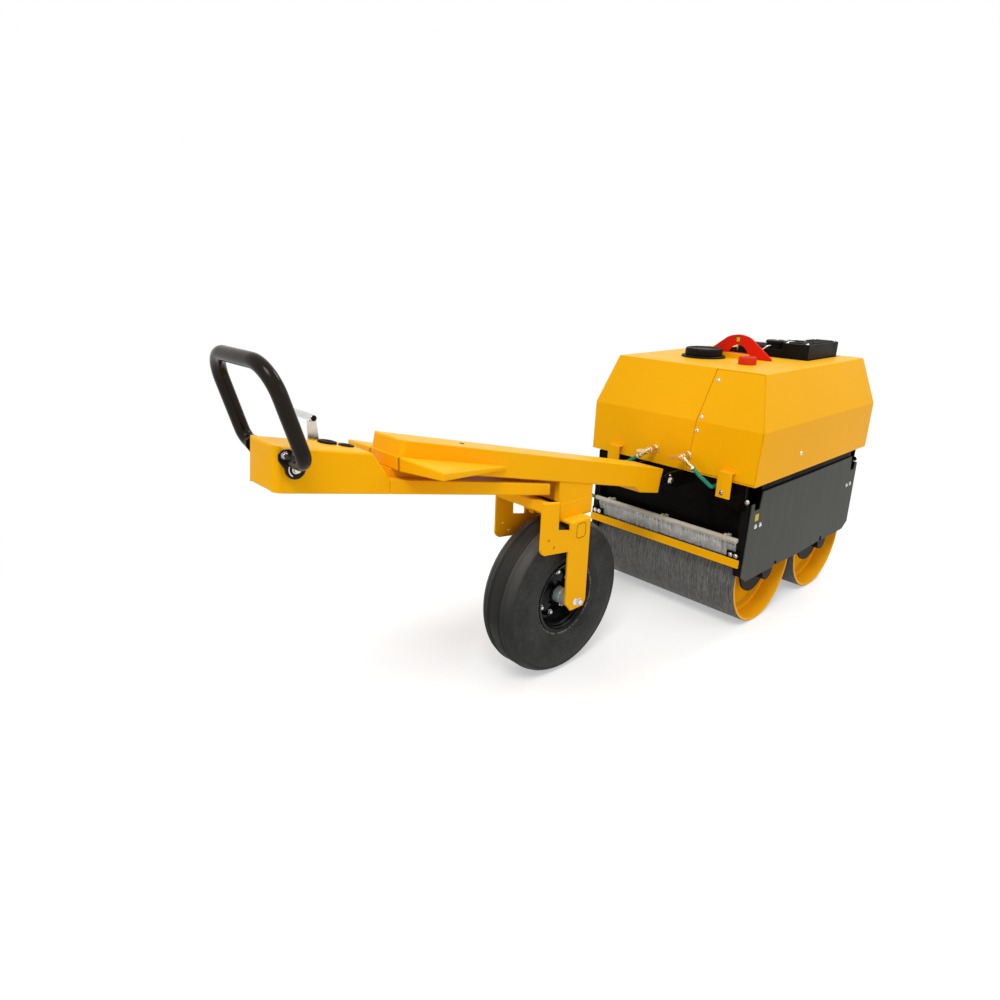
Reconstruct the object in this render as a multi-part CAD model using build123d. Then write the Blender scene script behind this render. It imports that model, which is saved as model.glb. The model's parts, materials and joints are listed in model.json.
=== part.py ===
"""Walk-behind double-drum road roller with a pneumatic support wheel under its tiller.

Frame: +X is forward, +Y is the machine's left, +Z is up, the ground is Z = 0 and the origin is the
middle of the footprint.  All sizes are millimetres.  Every X below is counted from the rear drum's
axle and moved into the part's frame by X(), so the joints of the record read off the same names.
"""
import math
import os

from build123d import *

os.makedirs("parts", exist_ok=True)

# ---------------------------------------------------------------- main sizes
REAR_AXLE_X = 573.6        # rear drum axle in the part's frame
AXLE_SPACING = 490.0
MID_X = AXLE_SPACING / 2   # the chassis is the same ahead of and behind this line
DRUM_R = 218.0
DRUM_HALF_W = 325.0
DRUM_WALL = 12.0

PLATE_IN = 344.0           # side plates, inner face and thickness
PLATE_T = 8.0

BODY_Z = (603.0, 794.0, 983.0)        # bottom edge, crease, top edge of the hood
BODY_REAR = (-245.0, -237.0, -174.0)  # its rear face at those heights
BODY_HALF_W = (363.5, 366.5, 312.5)
BODY_WALL = 4.0

HITCH = (-355.0, 588.0)    # tiller hinge pin
PIN_R = 12.0
FIT = 0.05                 # running clearance on a radius

BEAM_SLOPE = 0.2417        # upper beam, drop per unit forward
BEAM_HALF_W = 67.0
BEAM_ROUND = 13.0          # its rear upright edges
LOW_SLOPE = 0.2118         # lower beam and console
LOW_HALF_W = 66.0
CONSOLE_ROUND = 17.0       # its rear upright edges

WHEEL_X = -860.0
WHEEL_R = 270.0
WHEEL_HALF_W = 76.0
RIM_R = 126.0
WHEEL_AXLE_R = 12.0
FORK_IN = 97.0
FORK_T = 8.0
FORK_OUT = FORK_IN + FORK_T
TYRE_GAP = 9.0             # fork's cross plates above the tyre
FORK_Z = 2 * WHEEL_R + TYRE_GAP
PIN_HOLE_R = 5.0
PIN_HOLES = [(-1003.0, FORK_Z - 28), (-978.0, FORK_Z - 58)]

HOSE_R = 7.0
HOSE_Y = -214.0            # the front spray pipe's hose runs under the deck here
HOSE_Z = 576.0

BAIL = (-1800.0, 887.0)    # travel handle pivot
BAIL_LEAN = 0.3            # its tube leans back this much per unit of height
BAIL_TOP = 1121.0
BAIL_FOOT = 908.0
BAIL_TUBE_R = 17.0
BAIL_HALF_W = 138.0


def X(v):
    return v + REAR_AXLE_X


def box(x0, x1, y0, y1, z0, z1):
    return Pos((X(x0) + X(x1)) / 2, (y0 + y1) / 2, (z0 + z1) / 2) * Box(x1 - x0, y1 - y0, z1 - z0)


def prism(points, y0, y1):
    """Side profile of (x, z) points pushed from y0 to y1."""
    wire = Polyline([(X(a), y0, b) for a, b in points], close=True)
    return extrude(make_face(wire), amount=y1 - y0, dir=(0, 1, 0))


def cyl_y(x, z, r, y0, y1):
    return Pos(X(x), (y0 + y1) / 2, z) * Rot(90, 0, 0) * Cylinder(r, y1 - y0)


def cyl_z(x, y, r, z0, z1):
    return Pos(X(x), y, (z0 + z1) / 2) * Cylinder(r, z1 - z0)


def rod(a, b, r):
    """Round bar between two points."""
    a = Vector(X(a[0]), a[1], a[2])
    b = Vector(X(b[0]), b[1], b[2])
    return extrude(Plane(origin=a, z_dir=(b - a)) * Circle(r), amount=(b - a).length)


def sides(shape):
    """The shape and its mirror image across the middle plane."""
    return [shape, mirror(shape, about=Plane.XZ)]


def ends(shape):
    """The shape and its mirror image across the line half way between the axles."""
    return [shape, mirror(shape, about=Plane(origin=(X(MID_X), 0, 0), z_dir=(1, 0, 0)))]


def corners(shape):
    return [c for e in ends(shape) for c in sides(e)]


def fuse(items):
    out = items[0]
    for it in items[1:]:
        out = out + it
    return out


def turned(profile):
    """Closed (radius, y) profile turned about the world Y axis."""
    face = make_face(Polyline([(r, y, 0) for r, y in profile], close=True))
    return revolve(face, Axis.Y, 360)


def placed(shape, x, z):
    return Pos(X(x), 0, z) * shape


def save(shape, name):
    if isinstance(shape, (list, tuple)):
        shape = Compound(children=list(shape))
    export_step(shape, "parts/%s.step" % name)


# ---------------------------------------------------------------- chassis plates
REAR_OUTLINE = [
    (MID_X, 567), (-149, 569), (-158, 505), (-197, 505), (-199, 533), (-220, 532),
    (-230, 254), (-186, 226), (30, 226), (32, 247), (48, 247), (54, 229), (MID_X, 224)]
half = prism(REAR_OUTLINE, PLATE_IN, PLATE_IN + PLATE_T)
flange = box(-230, -222, 318, PLATE_IN, 254, 530)
save([fuse(ends(half) + ends(flange)),
      mirror(fuse(ends(half) + ends(flange)), about=Plane.XZ)], "side_plates")

# black deck frame, end guards and scraper tabs
deck = box(-238, 2 * MID_X + 238, -330, 330, 590, 598)
web = box(-238, -230, -330, 330, 505, 590)
rail = box(-150, 2 * MID_X + 150, 330, PLATE_IN, 500, 598)
save(fuse([deck] + ends(web) + sides(rail)) - rod((-260, HOSE_Y, HOSE_Z), (2 * MID_X + 260, HOSE_Y, HOSE_Z),
                                                  HOSE_R + 2), "deck_frame")

guard = box(-205, -197, -318, 318, 376, 590)
shelf = box(-228, -197, -318, 318, 368, 376)
tab = box(-242, -230, 290, 343, 300, 348)
tunnel = rod((-260, HOSE_Y, HOSE_Z), (2 * MID_X + 260, HOSE_Y, HOSE_Z), HOSE_R + 2)
save(ends(guard + shelf - tunnel) + corners(tab), "end_guards")

mount = prism([(-236, 500), (-190, 512), (-190, 572), (-222, 572)], 272, 317)
mount = mount - box(-238, -230, 272, 317, 490, 590)
save(corners(mount - guard), "mount_brackets")

# ---------------------------------------------------------------- drums
HUB_R = 105.0
AXLE_R = 30.0
carrier = turned([(0, PLATE_IN), (40, PLATE_IN), (40, 291), (HUB_R, 291), (HUB_R, 284), (AXLE_R, 284),
                  (AXLE_R, 186), (0, 186)])
carriers = []
for axle in (0.0, AXLE_SPACING):
    seat = box(axle - 70, axle + 70, PLATE_IN - 12, PLATE_IN, 228, 310)
    carriers += sides(placed(carrier, axle, DRUM_R) + seat)
save(carriers, "hub_carriers")

shell = turned([(DRUM_R - DRUM_WALL, -DRUM_HALF_W), (DRUM_R, -DRUM_HALF_W),
                (DRUM_R, DRUM_HALF_W), (DRUM_R - DRUM_WALL, DRUM_HALF_W)])
END = [(DRUM_R - DRUM_WALL, 262), (186, 262), (186, 238), (60, 238), (60, 250), (AXLE_R + FIT, 250),
       (AXLE_R + FIT, 196), (60, 196), (60, 226), (DRUM_R - DRUM_WALL, 226)]
end = turned(END)
for name, axle in (("rear", 0.0), ("front", AXLE_SPACING)):
    save(placed(shell, axle, DRUM_R), name + "_drum_shell")
    save([placed(e, axle, DRUM_R) for e in sides(end)], name + "_drum_ends")

# ---------------------------------------------------------------- hood
def hood_level(k, inset):
    rear = X(BODY_REAR[k]) + inset
    front = X(2 * MID_X - BODY_REAR[k]) - inset
    half_w = BODY_HALF_W[k] - inset
    return rear, front, half_w, BODY_Z[k]


def hood_block(inset, z_low, z_high):
    """Solid block with the hood's leaning faces, every face moved inward by inset."""
    solids = []
    for lo, hi in ((0, 1), (1, 2)):
        faces = []
        for k in (lo, hi):
            rear, front, half_w, z = hood_level(k, inset)
            z = {0: z_low, 1: z, 2: z_high}[k]
            wire = Polyline([(rear, -half_w, z), (front, -half_w, z), (front, half_w, z),
                             (rear, half_w, z)], close=True)
            faces.append(make_face(wire))
        solids.append(loft(faces, ruled=True))
    return solids[0] + solids[1]


OPENING = (330.0, 640.0, 225.0)     # engine opening in the top, x range and half width
LIFT_X = 190.0
hood = hood_block(0, BODY_Z[0], BODY_Z[2]) - hood_block(BODY_WALL, BODY_Z[0] - 1, BODY_Z[2] - BODY_WALL)
hood = hood - box(OPENING[0], OPENING[1], -OPENING[2], OPENING[2], 960, 1000)
hood = hood - box(LIFT_X - 9, LIFT_X + 9, -152, 152, 960, 1000)
hood = hood - box(243.5, 246.5, -219, -118, 960, 1000)
FILLER = (82.0, 90.0)
FUEL = (18.0, -135.0)
hood = hood - cyl_z(FILLER[0], FILLER[1], 62, 960, 1000) - cyl_z(FUEL[0], FUEL[1], 22, 960, 1000)

# the service cover is the right-hand part of the rear face, let in flush with a 2 mm joint
SEAM = [(-126, BODY_Z[2]), (-102, BODY_Z[1]), (-87, BODY_Z[0])]
FAR = [(-(BODY_HALF_W[k] - BODY_WALL - 1), BODY_Z[k]) for k in (2, 1, 0)]   # 1 mm inside the side wall


def cover_shape(grow, z_low, z_high, far_grow=None):
    """Prism along X over the cover's outline, its edges moved out by grow, the far one by far_grow."""
    near = [(y + grow, z) for y, z in SEAM]
    far = [(y - (grow if far_grow is None else far_grow), z) for y, z in FAR]
    near[0], far[0] = (near[0][0], z_high), (far[0][0], z_high)
    near[2], far[2] = (near[2][0], z_low), (far[2][0], z_low)
    wire = Polyline([(X(-260), y, z) for y, z in near + far[::-1]], close=True)
    return extrude(make_face(wire), amount=110, dir=(1, 0, 0))


def rear_x(z):
    """Outer rear face of the hood below the crease."""
    return BODY_REAR[0] + (BODY_REAR[1] - BODY_REAR[0]) * (z - BODY_Z[0]) / (BODY_Z[1] - BODY_Z[0])


COVER_Z = (BODY_Z[0] + 5.5, BODY_Z[2] - BODY_WALL - 1)
outer = hood_block(0, BODY_Z[0], BODY_Z[2])
inner = hood_block(BODY_WALL, BODY_Z[0] - 1, BODY_Z[2] - BODY_WALL)
lining = inner - hood_block(BODY_WALL + 3, BODY_Z[0] - 2, BODY_Z[2] - BODY_WALL - 3)
rebate = cover_shape(6, COVER_Z[0] - 3, COVER_Z[1] + 2) - cover_shape(-14, COVER_Z[0] + 12, COVER_Z[1] - 14)
sill = box(BODY_REAR[0], 2 * MID_X - BODY_REAR[0], -360, 360, BODY_Z[0], BODY_Z[0] + 4)
sill = (sill - box(-200, 2 * MID_X + 200, -300, 300, BODY_Z[0] - 1, BODY_Z[0] + 5)) & inner
hood = hood - cover_shape(1.0, COVER_Z[0] - 1, COVER_Z[1] + 1)
save(hood + sill + (lining & rebate), "hood")
save((outer - inner) & cover_shape(-1.0, COVER_Z[0] + 1, COVER_Z[1] + 0.8, 0.8), "service_cover")
pads = []
for x in (-150, MID_X, 2 * MID_X + 150):
    pads += sides(box(x - 25, x + 25, 303, 329, 598, BODY_Z[0]))
pads += ends(box(-236, -206, -30, 30, 598, BODY_Z[0]))
save(pads, "hood_mounts")

# ---------------------------------------------------------------- caps, lifting frame, engine
flange_ring = cyl_z(FILLER[0], FILLER[1], 86, 983, 991) + cyl_z(FILLER[0], FILLER[1], 60, 940, 983)
save(flange_ring - cyl_z(FILLER[0], FILLER[1], 54, 930, 1000), "filler_neck")
save(cyl_z(FILLER[0], FILLER[1], 72, 991, 1019) + cyl_z(FILLER[0], FILLER[1], 53, 970, 991), "filler_cap")
save(cyl_z(FUEL[0], FUEL[1], 33, 983, 1011) + cyl_z(FUEL[0], FUEL[1], 21, 960, 983), "fuel_cap")

arch = [Line((X(LIFT_X) - 5, 56, 1058), (X(LIFT_X) - 5, 144, 991)),
        Line((X(LIFT_X) - 5, 144, 991), (X(LIFT_X) - 5, 144, 960)),
        Line((X(LIFT_X) - 5, 144, 960), (X(LIFT_X) - 5, -144, 960)),
        Line((X(LIFT_X) - 5, -144, 960), (X(LIFT_X) - 5, -144, 991)),
        Line((X(LIFT_X) - 5, -144, 991), (X(LIFT_X) - 5, -56, 1058)),
        ThreePointArc((X(LIFT_X) - 5, -56, 1058), (X(LIFT_X) - 5, 0, 1073), (X(LIFT_X) - 5, 56, 1058))]
plate = extrude(make_face(Wire(arch)), amount=10, dir=(1, 0, 0))
hole = [Line((X(LIFT_X) - 5, -43, 1002), (X(LIFT_X) - 5, 43, 1002)),
        ThreePointArc((X(LIFT_X) - 5, 43, 1002), (X(LIFT_X) - 5, 0, 1033), (X(LIFT_X) - 5, -43, 1002))]
plate = plate - extrude(make_face(Wire(hole)), amount=10, dir=(1, 0, 0))
legs = [box(LIFT_X - 5, LIFT_X + 5, 60, 144, 598, 960)]
save(plate + fuse(sides(legs[0])), "lifting_frame")
save(box(LIFT_X - 22, LIFT_X - 9, -58, 58, 983, 1000), "lifting_guard")

save(box(400, 620, -170, 170, 598, 930), "engine_block")
cowl = box(350, 630, -215, -105, 940, 1042) + box(350, 505, -105, 90, 940, 1015)
cowl = cowl + box(350, 630, -215, 215, 930, 940)
save(cowl, "engine_cowl")
save(cyl_z(395, -58, 38, 1015, 1034) + cyl_z(395, -58, 43, 1034, 1046), "air_filter")
save(cyl_y(560, 979, 38, -90, 190) + box(540, 580, -80, 180, 940, 950), "muffler")

# ---------------------------------------------------------------- water system
hanger = box(-268, -262, 230, 285, 545, 640)
hanger = hanger + prism([(-262, 634), (rear_x(634), 634), (rear_x(640), 640), (-262, 640)], 230, 285)
hanger = hanger + box(-262, -238, 230, 285, 555, 563)
save([hanger, mirror(hanger, about=Plane.XZ)], "tank_hangers")

VALVES = {"left": (54.0, 661.0, 1.0), "right": (-91.0, 665.0, -1.0)}
valves = []
tips = {}
for key, (vy, vz, side) in VALVES.items():
    tip = (-285.0, vy + 42 * side, vz - 29)
    tips[key] = tip
    v = rod((-236, vy, vz), (-300, vy, vz), 9) - outer + rod((-285, vy, vz), tip, 6.5)
    valves.append(v)
save(valves, "water_valves")

PIPE = (-240.0, 393.0, 9.0)
pipe = cyl_y(PIPE[0], PIPE[1], PIPE[2], -325, 325)
clips = [box(-244, -205, y - 7, y + 7, 386, 400) + cyl_y(PIPE[0], PIPE[1], 12, y - 7, y + 7)
         for y in (-276, -4, 257)]
save(ends(fuse([pipe] + clips)), "spray_pipes")


def hose(points, r, bends):
    """Round hose or tube through the points, its corners eased by arcs of the bend radii."""
    pts = [Vector(X(p[0]), p[1], p[2]) for p in points]
    edges = []
    last = pts[0]
    for i in range(1, len(pts) - 1):
        before = (pts[i] - pts[i - 1]).normalized()
        after = (pts[i + 1] - pts[i]).normalized()
        turn = math.acos(max(-1.0, min(1.0, before.dot(after))))
        bend = bends[i - 1] if isinstance(bends, tuple) else bends
        cut = bend * math.tan(turn / 2)
        start = pts[i] - before * cut
        stop = pts[i] + after * cut
        centre = (after - before).normalized() * (bend / math.cos(turn / 2)) + pts[i]
        middle = centre + (pts[i] - centre).normalized() * bend
        edges += [Line(last, start), ThreePointArc(start, middle, stop)]
        last = stop
    edges.append(Line(last, pts[-1]))
    path = Wire(edges)
    return sweep(Plane(origin=pts[0], z_dir=(pts[1] - pts[0])) * Circle(r), path=path)


def along(tip, key, reach):
    """Point past a valve's tip along its nozzle."""
    side = VALVES[key][2]
    length = math.hypot(42, 29)
    return (tip[0], tip[1] + side * 42 / length * reach, tip[2] - 29 / length * reach)


left_hose = hose([tips["left"], along(tips["left"], "left", 60), (-285, 240, 560), (-280, 358, 470),
                  (-240, 358, 393), (-240, 325, 393)], HOSE_R, 16)
save(left_hose, "hose_left")
# the right hose dips beside the hanger and runs forward under the deck to the front spray pipe
FRONT_PIPE_X = 2 * MID_X - PIPE[0]
right_hose = hose([tips["right"], along(tips["right"], "right", 50), (-272, HOSE_Y, HOSE_Z),
                   (707.5, HOSE_Y, HOSE_Z), (707.5, HOSE_Y, 470), (FRONT_PIPE_X, HOSE_Y, 430),
                   (FRONT_PIPE_X, HOSE_Y, PIPE[1] + PIPE[2])], HOSE_R, 11)
save(right_hose, "hose_right")

brush = prism([(-226, 368), (-212, 368), (-198, 324), (-210, 324)], -318, 318)
save(ends(brush), "brush_strips")
scraper = box(-250, -242, -343, 343, 293, 323)
save(ends(scraper), "scraper_bars")

# ---------------------------------------------------------------- hitch
lug = prism([(-238, 548), (-238, 598), (-268, 611), (HITCH[0], 611), (HITCH[0] - 22, 598),
             (HITCH[0] - 22, 578), (HITCH[0], 566), (-300, 548)], 74, 84)
hitch = fuse(sides(lug)) + cyl_y(HITCH[0], HITCH[1], PIN_R, -84, 84)
for s in (-1, 1):
    y0, y1 = sorted((84 * s, 94 * s))
    hitch = hitch + cyl_y(HITCH[0], HITCH[1], 16, y0, y1)
save(hitch, "hitch_bracket")

# ---------------------------------------------------------------- tiller
def beam_top(x):
    return 903 - BEAM_SLOPE * (x + 1506)


def low_top(x):
    return 809 - LOW_SLOPE * (x + 1543)


BEAM = [(-1506, beam_top(-1506)), (-364, beam_top(-364)), (-381, beam_top(-381) - 76),
        (-1430, beam_top(-1430) - 76), (-1519, beam_top(-1519) - 56)]
beam = prism(BEAM, -BEAM_HALF_W, BEAM_HALF_W)
back_edges = [e for e in beam.edges() if e.center().X < X(-1505) and abs((e % 0.5).Y) < 0.1]
beam = fillet(back_edges, BEAM_ROUND)
inner = prism([(-1500, beam_top(-1500) - 5), (-350, beam_top(-350) - 5), (-350, beam_top(-350) - 95),
               (-1522, beam_top(-1522) - 95)], -BEAM_HALF_W + 5, BEAM_HALF_W - 5)
back_edges = [e for e in inner.edges() if e.center().X < X(-1499) and abs((e % 0.5).Y) < 0.1]
beam = beam - fillet(back_edges, BEAM_ROUND - 5)
chin = prism([(-529, beam_top(-529) - 76), (-381, beam_top(-381) - 76), (-382, 538), (-492, 562)],
             -BEAM_HALF_W, BEAM_HALF_W)
save(beam + chin, "upper_beam")

low = prism([(-1546, low_top(-1546)), (-966, low_top(-966)), (-966, low_top(-966) - 37),
             (-1546, low_top(-1546) - 37)], -LOW_HALF_W, LOW_HALF_W)
low = low - prism([(-1530, low_top(-1530) - 5), (-960, low_top(-960) - 5),
                   (-960, low_top(-960) - 32), (-1530, low_top(-1530) - 32)],
                  -LOW_HALF_W + 5, LOW_HALF_W - 5)
save(low, "lower_beam")

spine = prism([(-1525, low_top(-1525)), (-1300, low_top(-1300)), (-1300, beam_top(-1300) - 5),
               (-1490, beam_top(-1490) - 5), (-1490, beam_top(-1490) - 80), (-1525, beam_top(-1525) - 80)],
              -30, 30)
spacer = prism([(-1060, low_top(-1060)), (-990, low_top(-990)), (-990, beam_top(-990) - 5),
                (-1060, beam_top(-1060) - 5)], -30, 30)
save([spine, spacer], "tiller_spine")

console = prism([(-1836, 939), (-1593, 885), (-1557, 832), (-1546, low_top(-1546)),
                 (-1546, low_top(-1546) - 37), (-1846, low_top(-1846) - 37)], -LOW_HALF_W, LOW_HALF_W)
back_edges = [e for e in console.edges() if e.center().X < X(-1838) and abs((e % 0.5).Y) < 0.1]
console = fillet(back_edges, CONSOLE_ROUND)
hollow = prism([(-1831, 934), (-1595, 881), (-1561, 830), (-1551, 800), (-1551, 700), (-1841, 700)],
               -LOW_HALF_W + 4, LOW_HALF_W - 4)
back_edges = [e for e in hollow.edges() if e.center().X < X(-1832) and abs((e % 0.5).Y) < 0.1]
hollow = fillet(back_edges, CONSOLE_ROUND - 4)
console = console - hollow - cyl_y(BAIL[0], BAIL[1], 10, -80, 80)
save(console, "console")

# wing plate: one flat plate parallel to the upper beam, open where the beam passes, with a skirt all round
wing_angle = math.atan(BEAM_SLOPE)
wing_plane = Plane(origin=(X(-1506), 0, beam_top(-1506) - 45),
                   x_dir=(math.cos(wing_angle), 0, -math.sin(wing_angle)),
                   z_dir=(math.sin(wing_angle), 0, math.cos(wing_angle)))
WING = [(-18, -211), (-18, 211), (362, BEAM_HALF_W), (-11, BEAM_HALF_W), (-11, -BEAM_HALF_W),
        (362, -BEAM_HALF_W)]
CORE = [(-14, -204), (-14, 204), (345, BEAM_HALF_W), (345, -BEAM_HALF_W)]
SKIRT = 13.0
skin = extrude(wing_plane * make_face(Polyline([(a, b, 0) for a, b in WING], close=True)), amount=SKIRT,
               dir=-wing_plane.z_dir)
core = extrude(wing_plane * make_face(Polyline([(a, b, -SKIRT) for a, b in CORE], close=True)), amount=SKIRT - 5,
               dir=wing_plane.z_dir)
save(skin - core - prism([(-1470, 1000), (-1000, 1000), (-1000, 600), (-1470, 600)], -BEAM_HALF_W, BEAM_HALF_W),
     "wing_plates")

# hinge tube carried inside the beam's end on two plates
ear = prism([(HITCH[0], HITCH[1] + 20), (HITCH[0], HITCH[1] - 20), (-450, HITCH[1] - 4),
             (-450, HITCH[1] + 32)], 50, BEAM_HALF_W - 5)
tube = fuse(sides(ear)) + cyl_y(HITCH[0], HITCH[1], 24, 5 - BEAM_HALF_W, BEAM_HALF_W - 5)
save(tube - cyl_y(HITCH[0], HITCH[1], PIN_R + FIT, -90, 90), "hinge_tube")

# fork: column under the beam, cross plate, flanges and leg plates
LEG_L, LEG_R = -910.0, -808.0
LEG_END = WHEEL_R - 27
leg = prism([(-1035, FORK_Z + 101), (-962, FORK_Z + 88), (-960, FORK_Z - 4), (-905, FORK_Z - 17),
             (-905, FORK_Z + 8), (LEG_R, FORK_Z + 8), (LEG_R, LEG_END + 20), (LEG_R - 12, LEG_END),
             (LEG_L + 28, LEG_END), (LEG_L, LEG_END + 34), (LEG_L, FORK_Z - 89), (-1038, FORK_Z - 71)],
            FORK_IN, FORK_OUT)
horn_edge = leg.edges().filter_by(Axis.Y).sort_by_distance((X(-1038), FORK_IN, FORK_Z - 71))[0]
leg = fillet(horn_edge, 28)
fold = [e for e in leg.edges() if abs((e % 0.5).Y) < 0.1 and e.center().Y > FORK_OUT - 0.1
        and abs((e % 0.5).X) > 0.9 and e.center().Z > FORK_Z + 5]
leg = fillet(fold, 7)
leg = leg - cyl_y(WHEEL_X, WHEEL_R, WHEEL_AXLE_R, FORK_IN - 17, FORK_OUT + 15)
for hx, hz in PIN_HOLES:
    leg = leg - cyl_y(hx, hz, PIN_HOLE_R, FORK_IN - 10, FORK_OUT + 10)
# the plates over the tyre: a flat one under the column and a channel between the horns
cross = box(-905, LEG_R, -FORK_IN, FORK_IN, FORK_Z, FORK_Z + 8)
cross = cross + prism([(-1035, FORK_Z + 101), (-962, FORK_Z + 88), (-962, FORK_Z + 80), (-1027, FORK_Z + 91.5),
                       (-1027, FORK_Z + 68), (-1035, FORK_Z + 68)], -FORK_IN, FORK_IN)


def column(x0, x1, y0, y1):
    """Upright of the column, cut to the upper beam's underside."""
    return prism([(x0, beam_top(x0) - 76), (x1, beam_top(x1) - 76), (x1, FORK_Z), (x0, FORK_Z)], y0, y1)


upright = column(-921, -759, 56, 64) + column(-921, -913, 44, 56) + column(-767, -759, 44, 56)
side = leg + upright + box(-915, -761, 64, 67, FORK_Z + 8, FORK_Z + 59)
fork = fuse(sides(side)) + cross
save(fork, "fork")

# wheel axle, fixed in the fork by a bolt beside each end
axle = cyl_y(WHEEL_X, WHEEL_R, WHEEL_AXLE_R, -FORK_OUT - 2, FORK_OUT + 2)
for s in (-1, 1):
    y0, y1 = sorted((FORK_OUT * s, (FORK_OUT + 8) * s))
    axle = axle + cyl_y(WHEEL_X + 17, WHEEL_R - 5, 10, y0, y1)
    y0, y1 = sorted((86 * s, FORK_IN * s))
    axle = axle + cyl_y(WHEEL_X, WHEEL_R, 20, y0, y1)
save(axle, "wheel_axle")

hub = turned([(WHEEL_AXLE_R + FIT, -80), (32, -80), (32, -6), (85, -6), (85, 6), (32, 6), (32, 80),
              (WHEEL_AXLE_R + FIT, 80)])
save(placed(hub, WHEEL_X, WHEEL_R), "wheel_hub")
rim = turned([(85, -6), (104, -6), (104, -50), (112, -62), (RIM_R, -62), (RIM_R, -58), (118, -56),
              (112, -44), (112, 44), (118, 56), (RIM_R, 58), (RIM_R, 62), (112, 62), (104, 50),
              (104, 6), (85, 6)])
save(placed(rim, WHEEL_X, WHEEL_R), "wheel_rim")
TYRE = [(112, -44), (118, -56), (RIM_R, -58), (150, -70), (190, -WHEEL_HALF_W), (228, -70),
        (252, -60), (264, -44), (WHEEL_R, -20), (WHEEL_R, 20), (264, 44), (252, 60), (228, 70),
        (190, WHEEL_HALF_W), (150, 70), (RIM_R, 58), (118, 56), (112, 44)]
save(placed(turned(TYRE), WHEEL_X, WHEEL_R), "tyre")

# ---------------------------------------------------------------- controls
slope = math.atan(0.222)
def console_top(x):
    return 939 - 0.222 * (x + 1836)


def knob(x, y, r, h):
    base = Plane(origin=(X(x), y, console_top(x)), z_dir=(math.sin(slope), 0, math.cos(slope)))
    return extrude(base * Circle(r), amount=h)


save([knob(-1657, 34, 23, 6), knob(-1619, 11, 19, 4)], "console_dials")

# the mode lever: a flat stem on the console's left side under a cross tube
stem = prism([(-1687, 950), (-1665, 950), (-1660, 908), (-1658, 874), (-1690, 874), (-1689, 908)],
             LOW_HALF_W, LOW_HALF_W + 5)
grip = cyl_y(-1676, 957.5, 9, 56, 160)
save(stem + grip, "mode_lever")

boss = cyl_y(BAIL[0], BAIL[1], 20, LOW_HALF_W, LOW_HALF_W + 6)
boss = boss + cyl_y(BAIL[0], BAIL[1], 9, 60, 94) + cyl_y(BAIL[0], BAIL[1], 10, LOW_HALF_W - 4, LOW_HALF_W)
save(sides(boss), "handle_pivots")


def on_bail(y, z):
    """Point of the bail's leaning plane."""
    return (BAIL[0] - BAIL_LEAN * (z - BAIL[1]), y, z)


half_bail = hose([on_bail(82, BAIL_FOOT), on_bail(BAIL_HALF_W + 8, BAIL_FOOT), on_bail(BAIL_HALF_W, BAIL_TOP),
                  on_bail(0, BAIL_TOP)], BAIL_TUBE_R, (36, 72))
eye = cyl_y(BAIL[0], BAIL[1], 24, 77, 85)
cam = cyl_y(BAIL[0] - 22, BAIL[1] + 31, 15, 77, 82)
web = prism([(BAIL[0] - 20, BAIL[1] - 2), (BAIL[0] + 14, BAIL[1] + 12), (BAIL[0] - 10, BAIL[1] + 40),
             (BAIL[0] - 35, BAIL[1] + 24)], 77, 82)
half_bail = half_bail + (eye + cam + web) - cyl_y(BAIL[0], BAIL[1], 9 + FIT, 60, 110)
save(half_bail + mirror(half_bail, about=Plane.XZ), "bail_handle")
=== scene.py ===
"""Walk-behind double-drum road roller: finishes, wheels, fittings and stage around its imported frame."""
import json

import bmesh
import bpy
import numpy as np
from mathutils import Matrix, Vector


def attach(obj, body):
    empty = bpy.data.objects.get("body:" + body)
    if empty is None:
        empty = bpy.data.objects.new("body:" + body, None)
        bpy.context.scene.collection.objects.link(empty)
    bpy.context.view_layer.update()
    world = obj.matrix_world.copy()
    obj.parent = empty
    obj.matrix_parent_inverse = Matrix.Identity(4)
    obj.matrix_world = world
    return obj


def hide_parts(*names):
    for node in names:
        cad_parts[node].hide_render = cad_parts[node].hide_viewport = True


bl_info = {
    "name": "Road Roller Dressing",
    "version": (1, 0, 0),
    "blender": (4, 5, 0),
    "location": "View3D > Sidebar > Road Roller",
    "description": "Finishes, wheels, fittings and stage of a walk-behind road roller",
    "category": "Add Mesh",
}

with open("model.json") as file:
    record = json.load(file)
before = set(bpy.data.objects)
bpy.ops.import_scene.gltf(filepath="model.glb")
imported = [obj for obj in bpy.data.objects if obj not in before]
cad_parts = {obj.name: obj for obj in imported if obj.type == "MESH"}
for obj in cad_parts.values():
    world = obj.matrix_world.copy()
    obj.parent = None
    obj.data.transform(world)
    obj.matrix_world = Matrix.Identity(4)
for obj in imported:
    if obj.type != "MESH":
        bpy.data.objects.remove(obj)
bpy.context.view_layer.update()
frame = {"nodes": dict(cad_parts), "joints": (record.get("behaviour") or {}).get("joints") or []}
MM = 0.001
TAU = 2 * np.pi
FOLD = 0.23  # turn, in radians, from which two faces of sheet metal meet in a fold
AHEAD, LEFT, UP = (1, 0, 0), (0, 1, 0), (0, 0, 1)
BACK, RIGHT = (-1, 0, 0), (0, -1, 0)
# sizes and places on the machine, in millimetres as for at
DRUM_R, DRUM_HALF = 218, 325
PLATE_FACE = 352  # outer face of a side plate
PIPE_X, PIPE_Z = -240, 393
BRUSH_HALF, BRUSH_TIP = 317, 317  # half the width of a strip, and the height of its tips
SILENCER_X, SILENCER_Z = 560, 979
LEVER_X, LEVER_Z = -1676, 957.5

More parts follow.
